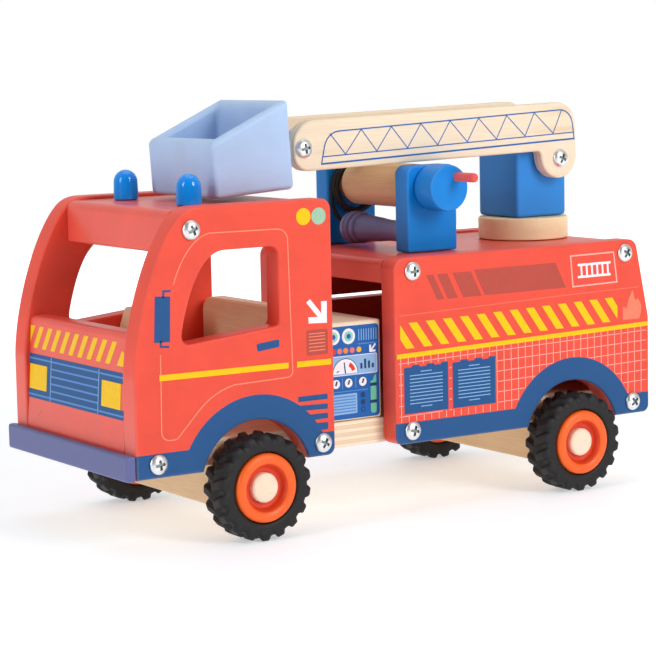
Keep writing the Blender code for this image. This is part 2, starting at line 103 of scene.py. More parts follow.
PIVOT = (-135.9, 180.1)
BOOM_SLOPE = math.radians(1.5)
BASKET_BOLT = (171.3, 16.8)
BASKET_SLOPE = math.radians(3.6)
PLATE_IN = 18.4
PLATE = 8.0
WINCH = (-39.4, 169.0)
NEAR_POST = (24.3, 36.3)
FAR_POST = (-53.0, -41.0)
POST_HALF = 16.4
POST_TOP = 180.9
DRUM_R = 12.0
CRANK_R = 12.4
PEG_OFF = (-5.0, 5.8)
BEACON_Y = 33.0
NOZZLE = (-31.0, 144.8)
NOZZLE_END = -29.5
CORD_R = 1.1
COIL_TURNS = 4
COIL_R = 13.5
COIL_Z = 166.8
COIL_SEAT_R = 9.4
COIL_Y = (-34.9, -39.6)
HOSE_ROUTE = (
    (-25.1, -39.6, 158.6), (-26.1, -39.7, 154.9), (-28.0, -39.3, 151.3), (-29.7, -38.1, 148.2),
    (-30.7, -36.2, 146.0), (-31.0, -33.4, 144.9), (-31.0, -29.8, 144.8),
)

# Camera, room and lights. A light is (name, place, aim, size, watts), all in metres.
CAMERA_AT = (0.6710, 1.0085, 0.2413)
CAMERA_YAW = math.radians(33.42)
CAMERA_PITCH = math.radians(6.98)
CAMERA_ROLL = math.radians(-1.19)
CAMERA_LENS = 123.05
FLOOR_HALF = 1.5
FLOOR_GLOW = ((0.40, 0.42), (0.95, 0.85))
BRIGHT_SIDE = (-0.53, -0.80, 0.28)
WORLD_SPREAD = (-0.5, 0.9)
WORLD_LIGHT = (0.14, 0.75)
LIGHTS = (
    ("front", (2.0, 0.25, 0.85), (0.0, 0.0, 0.08), (0.5, 1.1), 13.5),
    ("side", (-0.5, 1.75, 0.95), (-0.05, 0.0, 0.08), (0.6, 1.1), 20.5),
    ("top", (-0.2, -0.2, 1.70), (0.0, 0.0, 0.1), (1.2, 1.2), 4.5),
)


def add_object(name, data):
    """A new object in the scene."""
    obj = bpy.data.objects.new(name, data)
    bpy.context.scene.collection.objects.link(obj)
    return obj


def make_camera():
    """The camera, looking at the engine's left front from a little above."""
    back = Vector((math.sin(CAMERA_YAW) * math.cos(CAMERA_PITCH),
                   math.cos(CAMERA_YAW) * math.cos(CAMERA_PITCH), math.sin(CAMERA_PITCH)))
    right = (-back).cross(Vector((0, 0, 1))).normalized()
    up = right.cross(-back)
    c, s = math.cos(CAMERA_ROLL), math.sin(CAMERA_ROLL)
    axes = Matrix((c * right + s * up, c * up - s * right, back)).transposed()
    data = bpy.data.cameras.new("camera")
    data.sensor_width = 36.0
    data.lens = CAMERA_LENS
    data.clip_end = 20.0
    camera = add_object("camera", data)
    camera.matrix_world = Matrix.Translation(CAMERA_AT) @ axes.to_4x4()
    bpy.context.scene.camera = camera


# ---------------------------------------------------------------- materials

def srgb(r, g, b):
    """Linear colour of an 8-bit sRGB one."""
    return tuple(c / 12.92 if c <= 0.04045 else ((c + 0.055) / 1.055) ** 2.4
                 for c in (r / 255, g / 255, b / 255))


def shade(colour, k):
    """A colour made lighter or darker."""
    return tuple(min(1.0, c * k) for c in colour[:3])


class Nodes:
    """A small builder for the node tree of its owner, a new material or world."""

    def __init__(self, owner, shader="Principled BSDF"):
        owner.use_nodes = True
        self.owner, self.tree = owner, owner.node_tree
        self.shader = self.tree.nodes[shader]
        self.coords = self.add("ShaderNodeTexCoord").outputs

    def add(self, kind, **values):
        node = self.tree.nodes.new(kind)
        for key, value in values.items():
            setattr(node, key, value)
        return node

    def link(self, output, target):
        self.tree.links.new(output, target)

    def feed(self, sockets, values):
        """Give each socket its value: an output, a colour or a number."""
        for socket, value in zip(sockets, values):
            if isinstance(value, bpy.types.NodeSocket):
                self.link(value, socket)
            else:
                socket.default_value = (*value, 1) if isinstance(value, tuple) else value

    def noise(self, scale, stretch=(1, 1, 1), detail=3.0):
        """Noise with features of 1/scale metres, stretched along the axes."""
        mapping = self.add("ShaderNodeMapping")
        mapping.inputs["Scale"].default_value = [scale / s for s in stretch]
        self.link(self.coords["Object"], mapping.inputs["Vector"])
        noise = self.add("ShaderNodeTexNoise")
        noise.inputs["Scale"].default_value = 1.0
        noise.inputs["Detail"].default_value = detail
        self.link(mapping.outputs[0], noise.inputs["Vector"])
        return noise.outputs["Fac"]

    def ramp(self, source, stops):
        """A colour ramp from (position, colour) or (position, number) stops."""
        ramp = self.add("ShaderNodeValToRGB").color_ramp
        node = self.tree.nodes[-1]
        while len(ramp.elements) < len(stops):
            ramp.elements.new(0.5)
        for element, (place, value) in zip(ramp.elements, stops):
            element.position = place
            element.color = (*value, 1) if isinstance(value, tuple) else (value, value, value, 1)
        self.link(source, node.inputs[0])
        return node.outputs[0]

    def tint(self, source, colour, low, high):
        """A colour that varies from low to high times its brightness."""
        return self.ramp(source, [(0.3, shade(colour, low)), (0.7, shade(colour, high))])

    def sheen(self, source, low, high):
        """A roughness that varies from low to high."""
        return self.ramp(source, [(0.2, low), (0.8, high)])

    def mix(self, factor, a, b, blend="MIX"):
        """A mix of two colours, each an output or a colour."""
        node = self.add("ShaderNodeMix", data_type="RGBA", blend_type=blend)
        self.feed((node.inputs[0], node.inputs[6], node.inputs[7]), (factor, a, b))
        return node.outputs[2]

    def math(self, operation, *values):
        """One Math node on outputs or numbers."""
        node = self.add("ShaderNodeMath", operation=operation)
        self.feed(node.inputs, values)
        return node.outputs[0]

    def parts(self, coords):
        """The x, y and z outputs of the Object or Normal coordinates."""
        split = self.add("ShaderNodeSeparateXYZ")
        self.link(self.coords[coords], split.inputs[0])
        return split.outputs

    def skirt_mask(self, centre_x, top):
        """1 inside a fender ring or a low band of a side board's outer face, else 0."""
        x, y, z = self.parts("Object")
        dx = self.math("SUBTRACT", x, centre_x * MM)
        dz = self.math("SUBTRACT", z, ARCH_Z * MM)
        away = self.math("SQRT", self.math("ADD", self.math("MULTIPLY", dx, dx),
                                           self.math("MULTIPLY", dz, dz)))
        inside = self.math("MAXIMUM", self.math("LESS_THAN", away, FENDER_R * MM),
                           self.math("LESS_THAN", z, top * MM))
        outer = self.math("GREATER_THAN", self.math("ABSOLUTE", y), (HALF_WIDTH - 1.0) * MM)
        return self.math("MULTIPLY", inside, outer)

    def finish(self, colour, rough, bumps, **values):
        """Join colour, roughness and bumps to the shader. bumps is (height, strength, mm)."""
        sockets = self.shader.inputs
        self.feed((sockets["Base Color"], sockets["Roughness"]), (colour, rough))
        last = None
        for height, strength, distance in bumps:
            bump = self.add("ShaderNodeBump")
            bump.inputs["Strength"].default_value = strength
            bump.inputs["Distance"].default_value = distance * MM
            self.link(height, bump.inputs["Height"])
            if last:
                self.link(last, bump.inputs["Normal"])
            last = bump.outputs[0]
        if last:
            self.link(last, sockets["Normal"])
        for key, value in values.items():
            sockets[key.replace("_", " ")].default_value = value
        return self.owner


def painted(name, colour, rough=0.36, edge_highlight=0.25, skirt=None, shine=0.22):
    """Satin paint on wood: faint grain, soft mottling and edges lightened as a painted highlight.
    skirt = (fender x, top of the band, colour) prints a fender and a low band on a side's outer
    face."""
    n = Nodes(bpy.data.materials.new(name))
    mottle = n.noise(45.0, detail=4.0)
    lines = n.noise(900.0, (14, 1, 1), 4.0)
    base = n.tint(mottle, colour, 0.93, 1.05)
    if skirt:
        base = n.mix(n.skirt_mask(*skirt[:2]), base, skirt[2])
    base = n.mix(n.ramp(lines, [(0.35, 0.0), (0.75, 0.22)]), base, (0.86, 0.86, 0.86), "MULTIPLY")
    # painted highlight: the edges, found by their pointiness, are lightened
    edge = n.ramp(n.add("ShaderNodeNewGeometry").outputs["Pointiness"], [(0.52, 0.0), (0.60, edge_highlight)])
    base = n.mix(edge, base, (0.35, 0.35, 0.35), "SCREEN")
    return n.finish(base, n.sheen(mottle, rough - 0.05, rough + 0.08),
                    [(lines, 0.10, 0.06), (n.noise(260.0), 0.12, 0.10)],
                    Specular_IOR_Level=shine)


def timber(name, light, dark, grain="X", layers=None, contrast=1.0):
    """Lacquered wood with its grain along an axis. layers = (axis, thickness, low face) draws
    the plies of plywood on its edges."""
    n = Nodes(bpy.data.materials.new(name))
    along = {"X": (26, 1, 1), "Y": (1, 26, 1), "Z": (1, 1, 26)}[grain]
    fibre = n.noise(1400.0, along, 5.0)
    figure = n.noise(160.0, along, 3.0)
    base = n.ramp(figure, [(0.3, light), (0.62, shade(light, 0.95)), (0.8, dark)])
    base = n.mix(n.ramp(fibre, [(0.38, 0.0), (0.8, 0.5 * contrast)]), base, dark)
    if layers:
        axis, pitch, low = layers
        count = n.math("MULTIPLY_ADD", n.parts("Object")[axis], 1.0 / (2 * pitch * MM),
                       -low / (2 * pitch))
        end_grain = tuple((a + b) / 2 for a, b in zip(light, dark))
        plies = n.ramp(n.math("FRACT", count), [
            (0.0, shade(light, 1.03)), (0.44, light), (0.52, shade(dark, 0.97)),
            (0.60, end_grain), (0.92, end_grain), (1.0, shade(dark, 0.99))])
        plies = n.mix(n.ramp(n.noise(500.0, (6, 6, 6)), [(0.4, 0.0), (0.7, 0.3)]), plies, light)
        facing = n.math("ABSOLUTE", n.parts("Normal")[axis])
        base = n.mix(n.ramp(facing, [(0.45, 1.0), (0.75, 0.0)]), base, plies)
    return n.finish(base, n.sheen(figure, 0.45, 0.6), [(fibre, 0.25, 0.08)],
                    Specular_IOR_Level=0.4)


def ink(name, colour):
    """Printed ink with a faint screen-print mottle."""
    n = Nodes(bpy.data.materials.new(name))
    mottle = n.noise(600.0, detail=2.0)
    return n.finish(n.tint(mottle, colour, 0.96, 1.03), n.sheen(mottle, 0.36, 0.45),
                    [(mottle, 0.05, 0.04)], Specular_IOR_Level=0.2)


def moulded(name, colour, rough, speck=0.08, **values):
    """Moulded plastic or rubber with a fine texture."""
    n = Nodes(bpy.data.materials.new(name))
    fine = n.noise(1800.0, detail=2.0)
    broad = n.noise(70.0, detail=3.0)
    return n.finish(n.tint(broad, colour, 1 - speck, 1 + speck),
                    n.sheen(broad, rough - 0.04, rough + 0.06), [(fine, 0.12, 0.05)], **values)


def plated(name, colour, rough):
    """Zinc-plated steel with faint clouds in its shine."""
    n = Nodes(bpy.data.materials.new(name))
    cloud = n.noise(380.0, detail=2.0)
    return n.finish(n.tint(cloud, colour, 0.9, 1.0), n.sheen(cloud, rough - 0.05, rough + 0.08),
                    [(cloud, 0.04, 0.03)], Metallic=1.0)


def corded(name, colour):
    """A soft cord with a fine twill of fibres."""
    n = Nodes(bpy.data.materials.new(name))
    wave = n.add("ShaderNodeTexWave", bands_direction="DIAGONAL")
    wave.inputs["Scale"].default_value = 420.0
    wave.inputs["Distortion"].default_value = 1.5
    n.link(n.coords["Object"], wave.inputs["Vector"])
    base = n.ramp(wave.outputs["Fac"], [(0.2, shade(colour, 0.7)), (0.8, shade(colour, 1.3))])
    return n.finish(base, 0.75, [(wave.outputs["Fac"], 0.35, 0.12)])


CORAL = srgb(240, 82, 62)
PRINT_BLUE = srgb(34, 84, 138)
WOOD_LIGHT = srgb(249, 230, 202)
WOOD_DARK = srgb(226, 192, 148)
BEECH_LIGHT = srgb(240, 202, 152)
BEECH_DARK = srgb(202, 152, 100)

RED = painted("red_paint", CORAL, rough=0.30, shine=0.45)
RED_CAB = painted("red_cab_paint", CORAL, skirt=(FENDER_X["front"], 49.9, PRINT_BLUE))
RED_BODY = painted("red_body_paint", CORAL, skirt=(FENDER_X["rear"], 49.0, PRINT_BLUE))
BEACON = painted("beacon_paint", srgb(0, 144, 244), rough=0.13, edge_highlight=0.05, shine=0.6)
BLUE = painted("blue_paint", srgb(0, 132, 220))
LAVENDER = painted("lavender_paint", srgb(90, 96, 150))
PALE_BLUE = painted("pale_blue_paint", srgb(182, 208, 243))
PEG_RED = painted("peg_red_paint", srgb(236, 84, 74))
GREY = painted("grey_lavender_paint", srgb(114, 120, 170), shine=0.3)
PLY_BOARD = timber("birch_ply_board", WOOD_LIGHT, WOOD_DARK, "X", (2, 1.93, 37.9))
PLY_PLATE = timber("birch_ply_plate", WOOD_LIGHT, WOOD_DARK, "X", (1, 1.6, 0.0), contrast=0.7)
PLY_END = timber("pump_wood", WOOD_LIGHT, WOOD_DARK, "Y", contrast=0.8)
BEECH = timber("beech_across", BEECH_LIGHT, BEECH_DARK, "Y", contrast=0.8)
BEECH_FLAT = timber("beech_flat", srgb(255, 236, 192), srgb(248, 204, 150), "X", contrast=0.8)
PINE = timber("pine_across", srgb(236, 204, 164), srgb(208, 168, 122), "Y")
DOWEL = timber("dowel_end", srgb(252, 232, 206), srgb(226, 192, 150), "Y", contrast=0.6)
RUBBER = moulded("black_rubber", srgb(26, 25, 26), 0.55, Specular_IOR_Level=0.35)
ORANGE = moulded("orange_plastic", srgb(252, 98, 12), 0.42, 0.04)
# painted shade: the same orange plastic, redder and darker, for the inside of the hubs' recesses
ORANGE_RECESS_SHADE = moulded("orange_recess_shade", srgb(226, 62, 14), 0.5, 0.04)
ZINC = plated("zinc_steel", (0.86, 0.87, 0.87), 0.36)
# painted shade: the same zinc, darkened, for the cross recesses of screws and bolts
RECESS_SHADE = plated("zinc_recess_shade", (0.30, 0.33, 0.32), 0.42)
CORD = corded("black_cord", srgb(28, 28, 30))

INK_COLOURS = {
    "blue": (34, 84, 138), "sky": (84, 142, 212), "panel": (34, 100, 176),
    "yellow": (250, 198, 4), "white": (244, 240, 244), "peach": (246, 142, 112),
    "rose": (248, 178, 166), "faint": (244, 116, 90), "maroon": (188, 78, 66),
    "green": (110, 196, 158), "navy": (34, 66, 112), "orange": (246, 140, 60),
    "signal": (226, 62, 44), "pale": (146, 186, 226), "sage": (162, 200, 168),
    "mint": (150, 214, 200), "flame": (244, 130, 100), "coral": (238, 120, 106),
    "amber": (250, 182, 40),
}
INKS = {name: ink("ink_" + name, srgb(*rgb)) for name, rgb in INK_COLOURS.items()}


# ---------------------------------------------------------------- outlines

def arc(cx, cz, radius, start, end, count):
    """Points along an arc, angles in degrees, both ends included."""
    steps = [math.radians(start + (end - start) * i / (count - 1)) for i in range(count)]
    return [(cx + radius * math.cos(a), cz + radius * math.sin(a)) for a in steps]


def circle(cx, cz, radius, count):
    """A closed ring of points."""
    return arc(cx, cz, radius, 0, 360, count + 1)[:-1]


def rounded(corners, count=7, closed=True):
    """An outline through corners given as (x, z, radius)."""
    points = []
    last_one = len(corners) - 1
    for i, (x, z, radius) in enumerate(corners):
        if radius == 0 or (not closed and i in (0, last_one)):
            points.append((x, z))
            continue
        here = Vector((x, z))
        back = (Vector(corners[i - 1][:2]) - here).normalized()
        ahead = (Vector(corners[(i + 1) % len(corners)][:2]) - here).normalized()
        half = back.angle(ahead) / 2
        centre = here + (back + ahead).normalized() * radius / math.sin(half)
        first = here + back * radius / math.tan(half) - centre
        last = here + ahead * radius / math.tan(half) - centre
        start = math.atan2(first.y, first.x)
        sweep = math.remainder(math.atan2(last.y, last.x) - start, 2 * math.pi)
        points += arc(*centre, radius, math.degrees(start), math.degrees(start + sweep), count)
    return points


def rect(x0, z0, x1, z1, radius=0.0):
    """A rectangle, with rounded corners if a radius is given."""
    return rounded([(x, z, radius) for x, z in ((x0, z0), (x1, z0), (x1, z1), (x0, z1))], 5)


def curve_points(points, count):
    """Points of one cubic Bezier stretch."""
    return [tuple(p) for p in interpolate_bezier(*[Vector(p) for p in points], count)]


def band(points, width, closed=False):
    """The loops of a line of some width: one loop, or an outer and an inner one if closed."""
    sides = ([], [])
    last = len(points) - 1
    for i, point in enumerate(points):
        here = Vector(point)
        before = Vector(points[i - 1]) if i or closed else None
        after = Vector(points[(i + 1) % len(points)]) if i < last or closed else None
        into = (here - before).normalized() if before is not None else None
        out = (after - here).normalized() if after is not None else None
        into, out = into or out, out or into
        along = (into + out).normalized()
        normal = Vector((-along.y, along.x))
        reach = width / 2 / max(0.35, normal.dot(Vector((-into.y, into.x))))
        sides[0].append(tuple(here + normal * reach))
        sides[1].append(tuple(here - normal * reach))
    return [sides[0], sides[1]] if closed else [sides[0] + sides[1][::-1]]


def arch_notch(wheel_x, low):
    """The wheel arch as part of an outline, from its front foot to its rear foot."""
    foot = math.degrees(math.asin((low - ARCH_Z) / ARCH_R))
    return arc(wheel_x, ARCH_Z, ARCH_R, foot, 180 - foot, 49)


def cab_outline():
    """Outline of a cab side: upright front, leaning windscreen edge, square back."""
    lean = curve_points(((CAB_FRONT, 86.0), (160.5, 112.0), (148.0, 150.0), (135.0, 163.6)), 24)
    brow = curve_points(((135.0, 163.6), (130.5, 168.3), (126.0, CAB_TOP), (120.0, CAB_TOP)), 12)
    back = rounded([(120.0, CAB_TOP, 0), (CAB_REAR, CAB_TOP, 5.5), (CAB_REAR, PANEL_BOTTOM, 4.5),
                    (CAB_FRONT, PANEL_BOTTOM, 0)])[1:-1]
    notch = arch_notch(WHEEL_X["front"], PANEL_BOTTOM)[::-1]
    return [(CAB_FRONT, PANEL_BOTTOM)] + lean + brow[1:] + back + notch


def window_outline():
    """Side window: leaning round front edge, sill that falls towards the front."""
    start = rounded([(134.6, 101.4, 0), (77.9, 106.9, 2.5), (77.9, 146.6, 4.5),
                     (108.0, 146.6, 0)])[1:]
    lean = curve_points(((108.0, 146.6), (119.0, 146.6), (127.5, 135.0), (133.6, 109.0)), 18)
    nose = rounded([(133.6, 109.0, 0), (134.6, 101.4, 4.0), (77.9, 106.9, 0)])[1:-1]
    return start + lean[1:] + nose


def body_outline():
    """Outline of a rear body side: the rear edge leans in above the waist."""
    shell = rounded([(BODY_FRONT, PANEL_BOTTOM, 4.0), (BODY_FRONT, BODY_TOP, 6.5),
                     (-157.3, BODY_TOP, 6.0), (BODY_REAR, 91.5, 12.0),
                     (BODY_REAR, PANEL_BOTTOM, 4.0)])
    return shell + arch_notch(WHEEL_X["rear"], PANEL_BOTTOM)[::-1]


def plate_outline():
    """A boom plate about its pivot, with the lug that the bolt goes through."""
    lug = arc(0.4, 1.4, 12.5, 180, 352, 28)
    return lug + rounded([(*lug[-1], 0), (13.6, 4.8, 2.5), (177.1, 4.8, 9.0), (177.1, 31.3, 13.0),
                          (-12.1, 31.3, 12.5), (*lug[0], 0)], 10)[1:-1]


# ---------------------------------------------------------------- matrices

def shift(x, y, z):
    """Matrix of a move by millimetres."""
    return Matrix.Translation((x * MM, y * MM, z * MM))


def turned(degrees, axis="Y"):
    """Matrix of a turn about an axis."""
    return Matrix.Rotation(math.radians(degrees), 4, axis)


def about(pivot, slope):
    """Matrix from a drawing about a pivot to the frame, tipped nose-down by slope."""
    return shift(pivot[0], 0.0, pivot[1]) @ Matrix.Rotation(slope, 4, "Y")


def at_pivot(pivot, slope, x, z):
    """Frame x and z of a point drawn about a pivot."""
    point = Matrix.Rotation(slope, 3, "Y") @ Vector((x, 0.0, z))
    return pivot[0] + point.x, pivot[1] + point.z


# ---------------------------------------------------------------- meshes

BODY_OF = {n: b for b, group in frame["record"]["behaviour"]["bodies"].items() for n in group}
SLOT_OF = {part["node"]: part["material_slot"] for part in frame["record"]["subparts"]}


def to_mesh(shape, name, sharp=35.0):
    """A smooth-shaded mesh with its edges over an angle kept sharp."""
    bmesh.ops.recalc_face_normals(shape, faces=shape.faces)
    mesh = bpy.data.meshes.new(name)
    shape.to_mesh(mesh)
    shape.free()
    mesh.shade_smooth()
    mesh.set_sharp_from_angle(angle=math.radians(sharp))
    return mesh


def place(name, mesh, material, body, slot=None, even=True):
    """A piece that rides on a body."""
    obj = add_object(name, mesh)
    if material:
        mesh.materials.clear()
        mesh.materials.append(material)
    if even:
        normals = obj.modifiers.new("even_normals", "WEIGHTED_NORMAL")
        normals.keep_sharp = True
    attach(obj, body)
    return obj


def replace(node, mesh, material, even=True):
    """A finer piece that stands for a CAD node."""
    obj = place(node + "_skin", mesh, material, BODY_OF[node], SLOT_OF[node], even)
    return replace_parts(obj, node)


def dress(node, material):
    """Give a CAD node's own mesh a better material."""
    slot = NODES[node].material_slots[0]
    slot.link = "OBJECT"
    slot.material = material


def slab(name, loops, low, high, rim=RIM, tip=None):
    """A board in the XZ plane between two y values, with rounded rims. loops[0] is its outline
    and the others are holes. tip is a matrix that moves it into place."""
    curve = bpy.data.curves.new(name, "CURVE")
    curve.dimensions = "2D"
    curve.fill_mode = "BOTH"
    curve.extrude = ((high - low) / 2 - rim) * MM
    curve.bevel_depth = rim * MM
    curve.bevel_resolution = 2
    curve.offset = -rim * MM
    for number, loop in enumerate(loops):
        turn = sum(a[0] * b[1] - b[0] * a[1] for a, b in zip(loop, loop[1:] + loop[:1]))
        if (turn > 0) == (number > 0):
            loop = loop[::-1]
        spline = curve.splines.new("POLY")
        spline.points.add(len(loop) - 1)
        for point, (x, z) in zip(spline.points, loop):
            point.co = (x * MM, z * MM, 0.0, 1.0)
        spline.use_cyclic_u = True
    guide = add_object(name, curve)
    bpy.context.view_layer.update()
    solid = guide.evaluated_get(bpy.context.evaluated_depsgraph_get())
    mesh = bpy.data.meshes.new_from_object(solid)
    bpy.data.objects.remove(guide, do_unlink=True)
    bpy.data.curves.remove(curve)
    mesh.transform(shift(0, (low + high) / 2, 0) @ turned(90, "X"))
    if tip:
        mesh.transform(tip)
    shape = bmesh.new()
    shape.from_mesh(mesh)
    bpy.data.meshes.remove(mesh)
    bmesh.ops.remove_doubles(shape, verts=shape.verts, dist=2e-6)
    return to_mesh(shape, name, 50.0)


def block(name, low, high, edge=1.0, rings=3):
    """A box with rounded edges between two corners in metres."""
    shape = bmesh.new()
    centre = (Vector(low) + Vector(high)) / 2
    matrix = Matrix.Translation(centre) @ Matrix.Diagonal((*(Vector(high) - Vector(low)), 1.0))
    bmesh.ops.create_cube(shape, size=1.0, matrix=matrix)
    bmesh.ops.bevel(shape, geom=shape.edges[:], offset=edge * MM, segments=rings, profile=0.5,
                    affect="EDGES")
    return to_mesh(shape, name, 50.0)


def skin(shape, rings, closed=False):
    """Faces from each ring of points to the next one, and from the last to the first if
    closed."""
    count = len(rings[0])
    for a, b in zip(rings, rings[1:] + (rings[:1] if closed else [])):
        for i in range(count):
            j = (i + 1) % count
            shape.faces.new(list(dict.fromkeys((a[i], a[j], b[j], b[i]))))


def lathe(name, profile, centre, axis="Y", steps=64, closed=False, sharp=32.0):
    """A turned mesh. profile is (radius, height); axis is Z, Y or -Y."""
    shape = bmesh.new()
    rings = []
    for radius, height in profile:
        if radius == 0:
            rings.append([shape.verts.new((0.0, 0.0, height * MM))] * steps)
        else:
            rings.append([shape.verts.new((x * MM, z * MM, height * MM))
                          for x, z in circle(0.0, 0.0, radius, steps)])
    skin(shape, rings, closed)
    matrix = shift(*centre) @ turned({"Z": 0, "Y": -90, "-Y": 90}[axis], "X")
    bmesh.ops.transform(shape, verts=shape.verts, matrix=matrix)
    return to_mesh(shape, name, sharp)


def carve(mesh, cutters, name):
    """A mesh with other meshes cut out of it."""
    target = add_object(name, mesh)
    tools = [add_object("tool", cutter) for cutter in cutters]
    for tool in tools:
        cut = target.modifiers.new("cut", "BOOLEAN")
        cut.solver = "EXACT"
        cut.object = tool
    bpy.context.view_layer.update()
    carved = bpy.data.meshes.new_from_object(
        target.evaluated_get(bpy.context.evaluated_depsgraph_get()))
    for obj in tools + [target]:
        bpy.data.objects.remove(obj, do_unlink=True)
    carved.name = name
    carved.shade_smooth()
    carved.set_sharp_from_angle(angle=math.radians(32.0))
    return carved


# ---------------------------------------------------------------- printed faces

class Print:
    """Ink on one flat face. u and v run along the face, in millimetres."""

    FILM = 0.07

    def __init__(self, name, body, origin, u, v, out):
        self.name, self.body = name, body
        self.origin, self.axes = Vector(origin), (Vector(u), Vector(v), Vector(out))
        self.layers = {}

    def fill(self, colour, loops, level=1):
        """An area inside loops[0] and outside the others. Higher levels lie on lower ones."""
        if colour not in self.layers:
            self.layers[colour] = bmesh.new()
        shape = self.layers[colour]
        u_axis, v_axis, out = self.axes
        flat = [[Vector((u, v, 0.0)) for u, v in loop] for loop in loops]
        triangles = tessellate_polygon(flat)
        corners = [p for loop in flat for p in loop]
        sheets = []
        for height in (-self.FILM, self.FILM * level):
            sheets.append([shape.verts.new(
                (self.origin + u_axis * p.x + v_axis * p.y + out * height) * MM)
                for p in corners])
        for sheet in sheets:
            for triangle in triangles:
                shape.faces.new([sheet[k] for k in triangle])
        start = 0
        for loop in flat:
            for k in range(len(loop)):
                i, j = start + k, start + (k + 1) % len(loop)
                shape.faces.new((sheets[0][i], sheets[0][j], sheets[1][j], sheets[1][i]))
            start += len(loop)

    def line(self, colour, points, width, closed=False, level=1):
        """A line of some width through points."""
        self.fill(colour, band(points, width, closed), level)

    def rows(self, colour, start, end, heights, width, level=2):
        """Level lines from start to end, one at each height."""
        for height in heights:
            self.line(colour, [(start, height), (end, height)], width, level=level)

    def dot(self, colour, x, z, radius, level=1):
        """A round dot."""
        self.fill(colour, [circle(x, z, radius, 24)], level)

    def rings(self, x, z, discs, level=2):
        """Round dots on each other, given as (colour, radius), widest first."""
        for step, (colour, radius) in enumerate(discs):
            self.dot(colour, x, z, radius, level + step)

    def finish(self):
        """Make one piece of each ink."""
        for colour, shape in self.layers.items():
            mesh = to_mesh(shape, f"{self.name}_{colour}", 20.0)
            place(mesh.name, mesh, INKS[colour], self.body, even=False)


def side_print(name, hand, side, face):
    """A print on a side of the vehicle, drawn in x and z. face is the y of that side."""
    return Print(f"{name}_print_{hand}", "vehicle", (0.0, face, 0.0), (1, 0, 0), (0, 0, 1),
                 (0, side, 0))


# ---------------------------------------------------------------- the wooden body

def make_boards():
    """Side boards, roof, grille board and the plain blocks."""
    for hand, side in SIDES:
        low, high = sorted((side * INNER, side * HALF_WIDTH))
        cab = [cab_outline(), window_outline()]
        replace(f"cab_side_{hand}", slab("cab_side", cab, low, high), RED_CAB)
        body = [body_outline()]
        if side < 0:
            body.append(rect(SLOT_X[0], SLOT_Z[0], SLOT_X[1], SLOT_Z[1], 1.4))
        replace(f"rear_side_{hand}", slab("rear_side", body, low, high), RED_BODY)
    roof_low = ROOF_TOP - BOARD
    roof = rounded([(CAB_REAR + 0.3, roof_low, 0.5), (121.2, roof_low, 0.5), (121.2, 145.4, 1.5),
                    (133.7, 145.4, 1.5), (133.7, ROOF_TOP, 4.5), (CAB_REAR + 0.3, ROOF_TOP, 1.5)])
    replace("cab_roof", slab("cab_roof", [roof], -SPAN, SPAN, 0.3), RED)
    grille = rounded([(161.1, 46.0, 0.6), (*GRILLE_FOOT, 3.0), (*GRILLE_HEAD, 3.2),
                      (144.5, 108.2, 3.2), (148.5, 51.7, 0.6), (157.7, 51.7, 0),
                      (157.7, 46.0, 0.6)])
    replace("grille_panel", slab("grille_panel", [grille], -SPAN, SPAN, 0.4), RED)
    for node, material, edge in (
            ("chassis_board", PLY_BOARD, 0.9), ("tail_board", RED, 1.0), ("bumper", LAVENDER, 1.4),
            ("pump_box", PLY_END, 1.4), ("turret_block", BLUE, 2.2)):
        replace(node, block(node, *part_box(node), edge), material)
    deck = rounded([(-157.6, DECK_TOP - BOARD, 1.0), (7.0, DECK_TOP - BOARD, 1.0),
                    (7.0, DECK_TOP, 3.5), (-157.6, DECK_TOP, 3.5)])
    replace("deck_board", slab("deck_board", [deck], -SPAN, SPAN, 0.3), RED)
    for node in ("front_axle_block", "rear_axle_block", "seat_back", "seat_block"):
        dress(node, PINE)
    for node in ("turret_pin", "winch_spindle"):
        dress(node, BEECH)
    dress("basket_tongue", PALE_BLUE)


def make_beacons():
    """Two beacons with domed tops."""
    for hand, side in SIDES:
        low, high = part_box(f"beacon_{hand}")
        radius, foot, top = (high.x - low.x) / 2 / MM, low.z / MM, high.z / MM
        dome = [(radius * math.sin(a), top - 6.4 * (1 - math.cos(a)))
                for a in (math.radians(6 * k) for k in range(16))]
        wide = 1.04 * radius
        mesh = lathe("beacon", dome + [(wide, foot + 2.0), (wide, foot + 0.6),
                                       (wide - 0.5, foot), (0.0, foot)],
                     ((low.x + high.x) / 2 / MM, side * BEACON_Y, 0.0), "Z", 48)
        replace(f"beacon_{hand}", mesh, BEACON)


# ---------------------------------------------------------------- metal

def cross_cutters(depth, face, sign=1):
    """Two boxes that cut a cross recess into a head whose top is at face along +Y."""
    cutters = []
    arm, half = 2.7, 0.75
    for angle in (45.0, -45.0):
        mesh = block("cross", (-arm * MM, (face - depth) * MM, -half * MM),
                     (arm * MM, (face + 1.0) * MM, half * MM), 0.2, 2)
        mesh.transform(turned(angle))
        if sign < 0:
            mesh.transform(turned(180, "Z"))
        cutters.append(mesh)
    return cutters


def two_tone(mesh, x, z, materials, deep):
    """Give a turned mesh two materials. deep says which faces have the second one, from how far
    they are from the axis at x and z and how high they are along it."""
    mesh.materials.clear()
    for material in materials:
        mesh.materials.append(material)
    for polygon in mesh.polygons:
        centre = polygon.center / MM
        away = math.hypot(centre.x - x, centre.z - z)
        polygon.material_index = int(deep(away, abs(centre.y)))


def metal(head, face):
    """Zinc with its cross recess darkened as painted shade; the recess's floor and walls lie just
    under the head's crown.
    """
    two_tone(head, 0.0, 0.0, (ZINC, RECESS_SHADE), lambda away, height: (
        away < 2.9 and face - 2.0 < height < face - 0.1 - 0.04 * away ** 2))


def head_profile(face):
    """Pan head from its crown out to its rim; face is the height of its underside."""
    return [(0.0, face + 2.2), (1.6, face + 2.16), (3.0, face + 1.9), (4.1, face + 1.4),
            (4.75, face + 0.75), (5.0, face + 0.3), (5.0, face + 0.05), (4.8, face)]


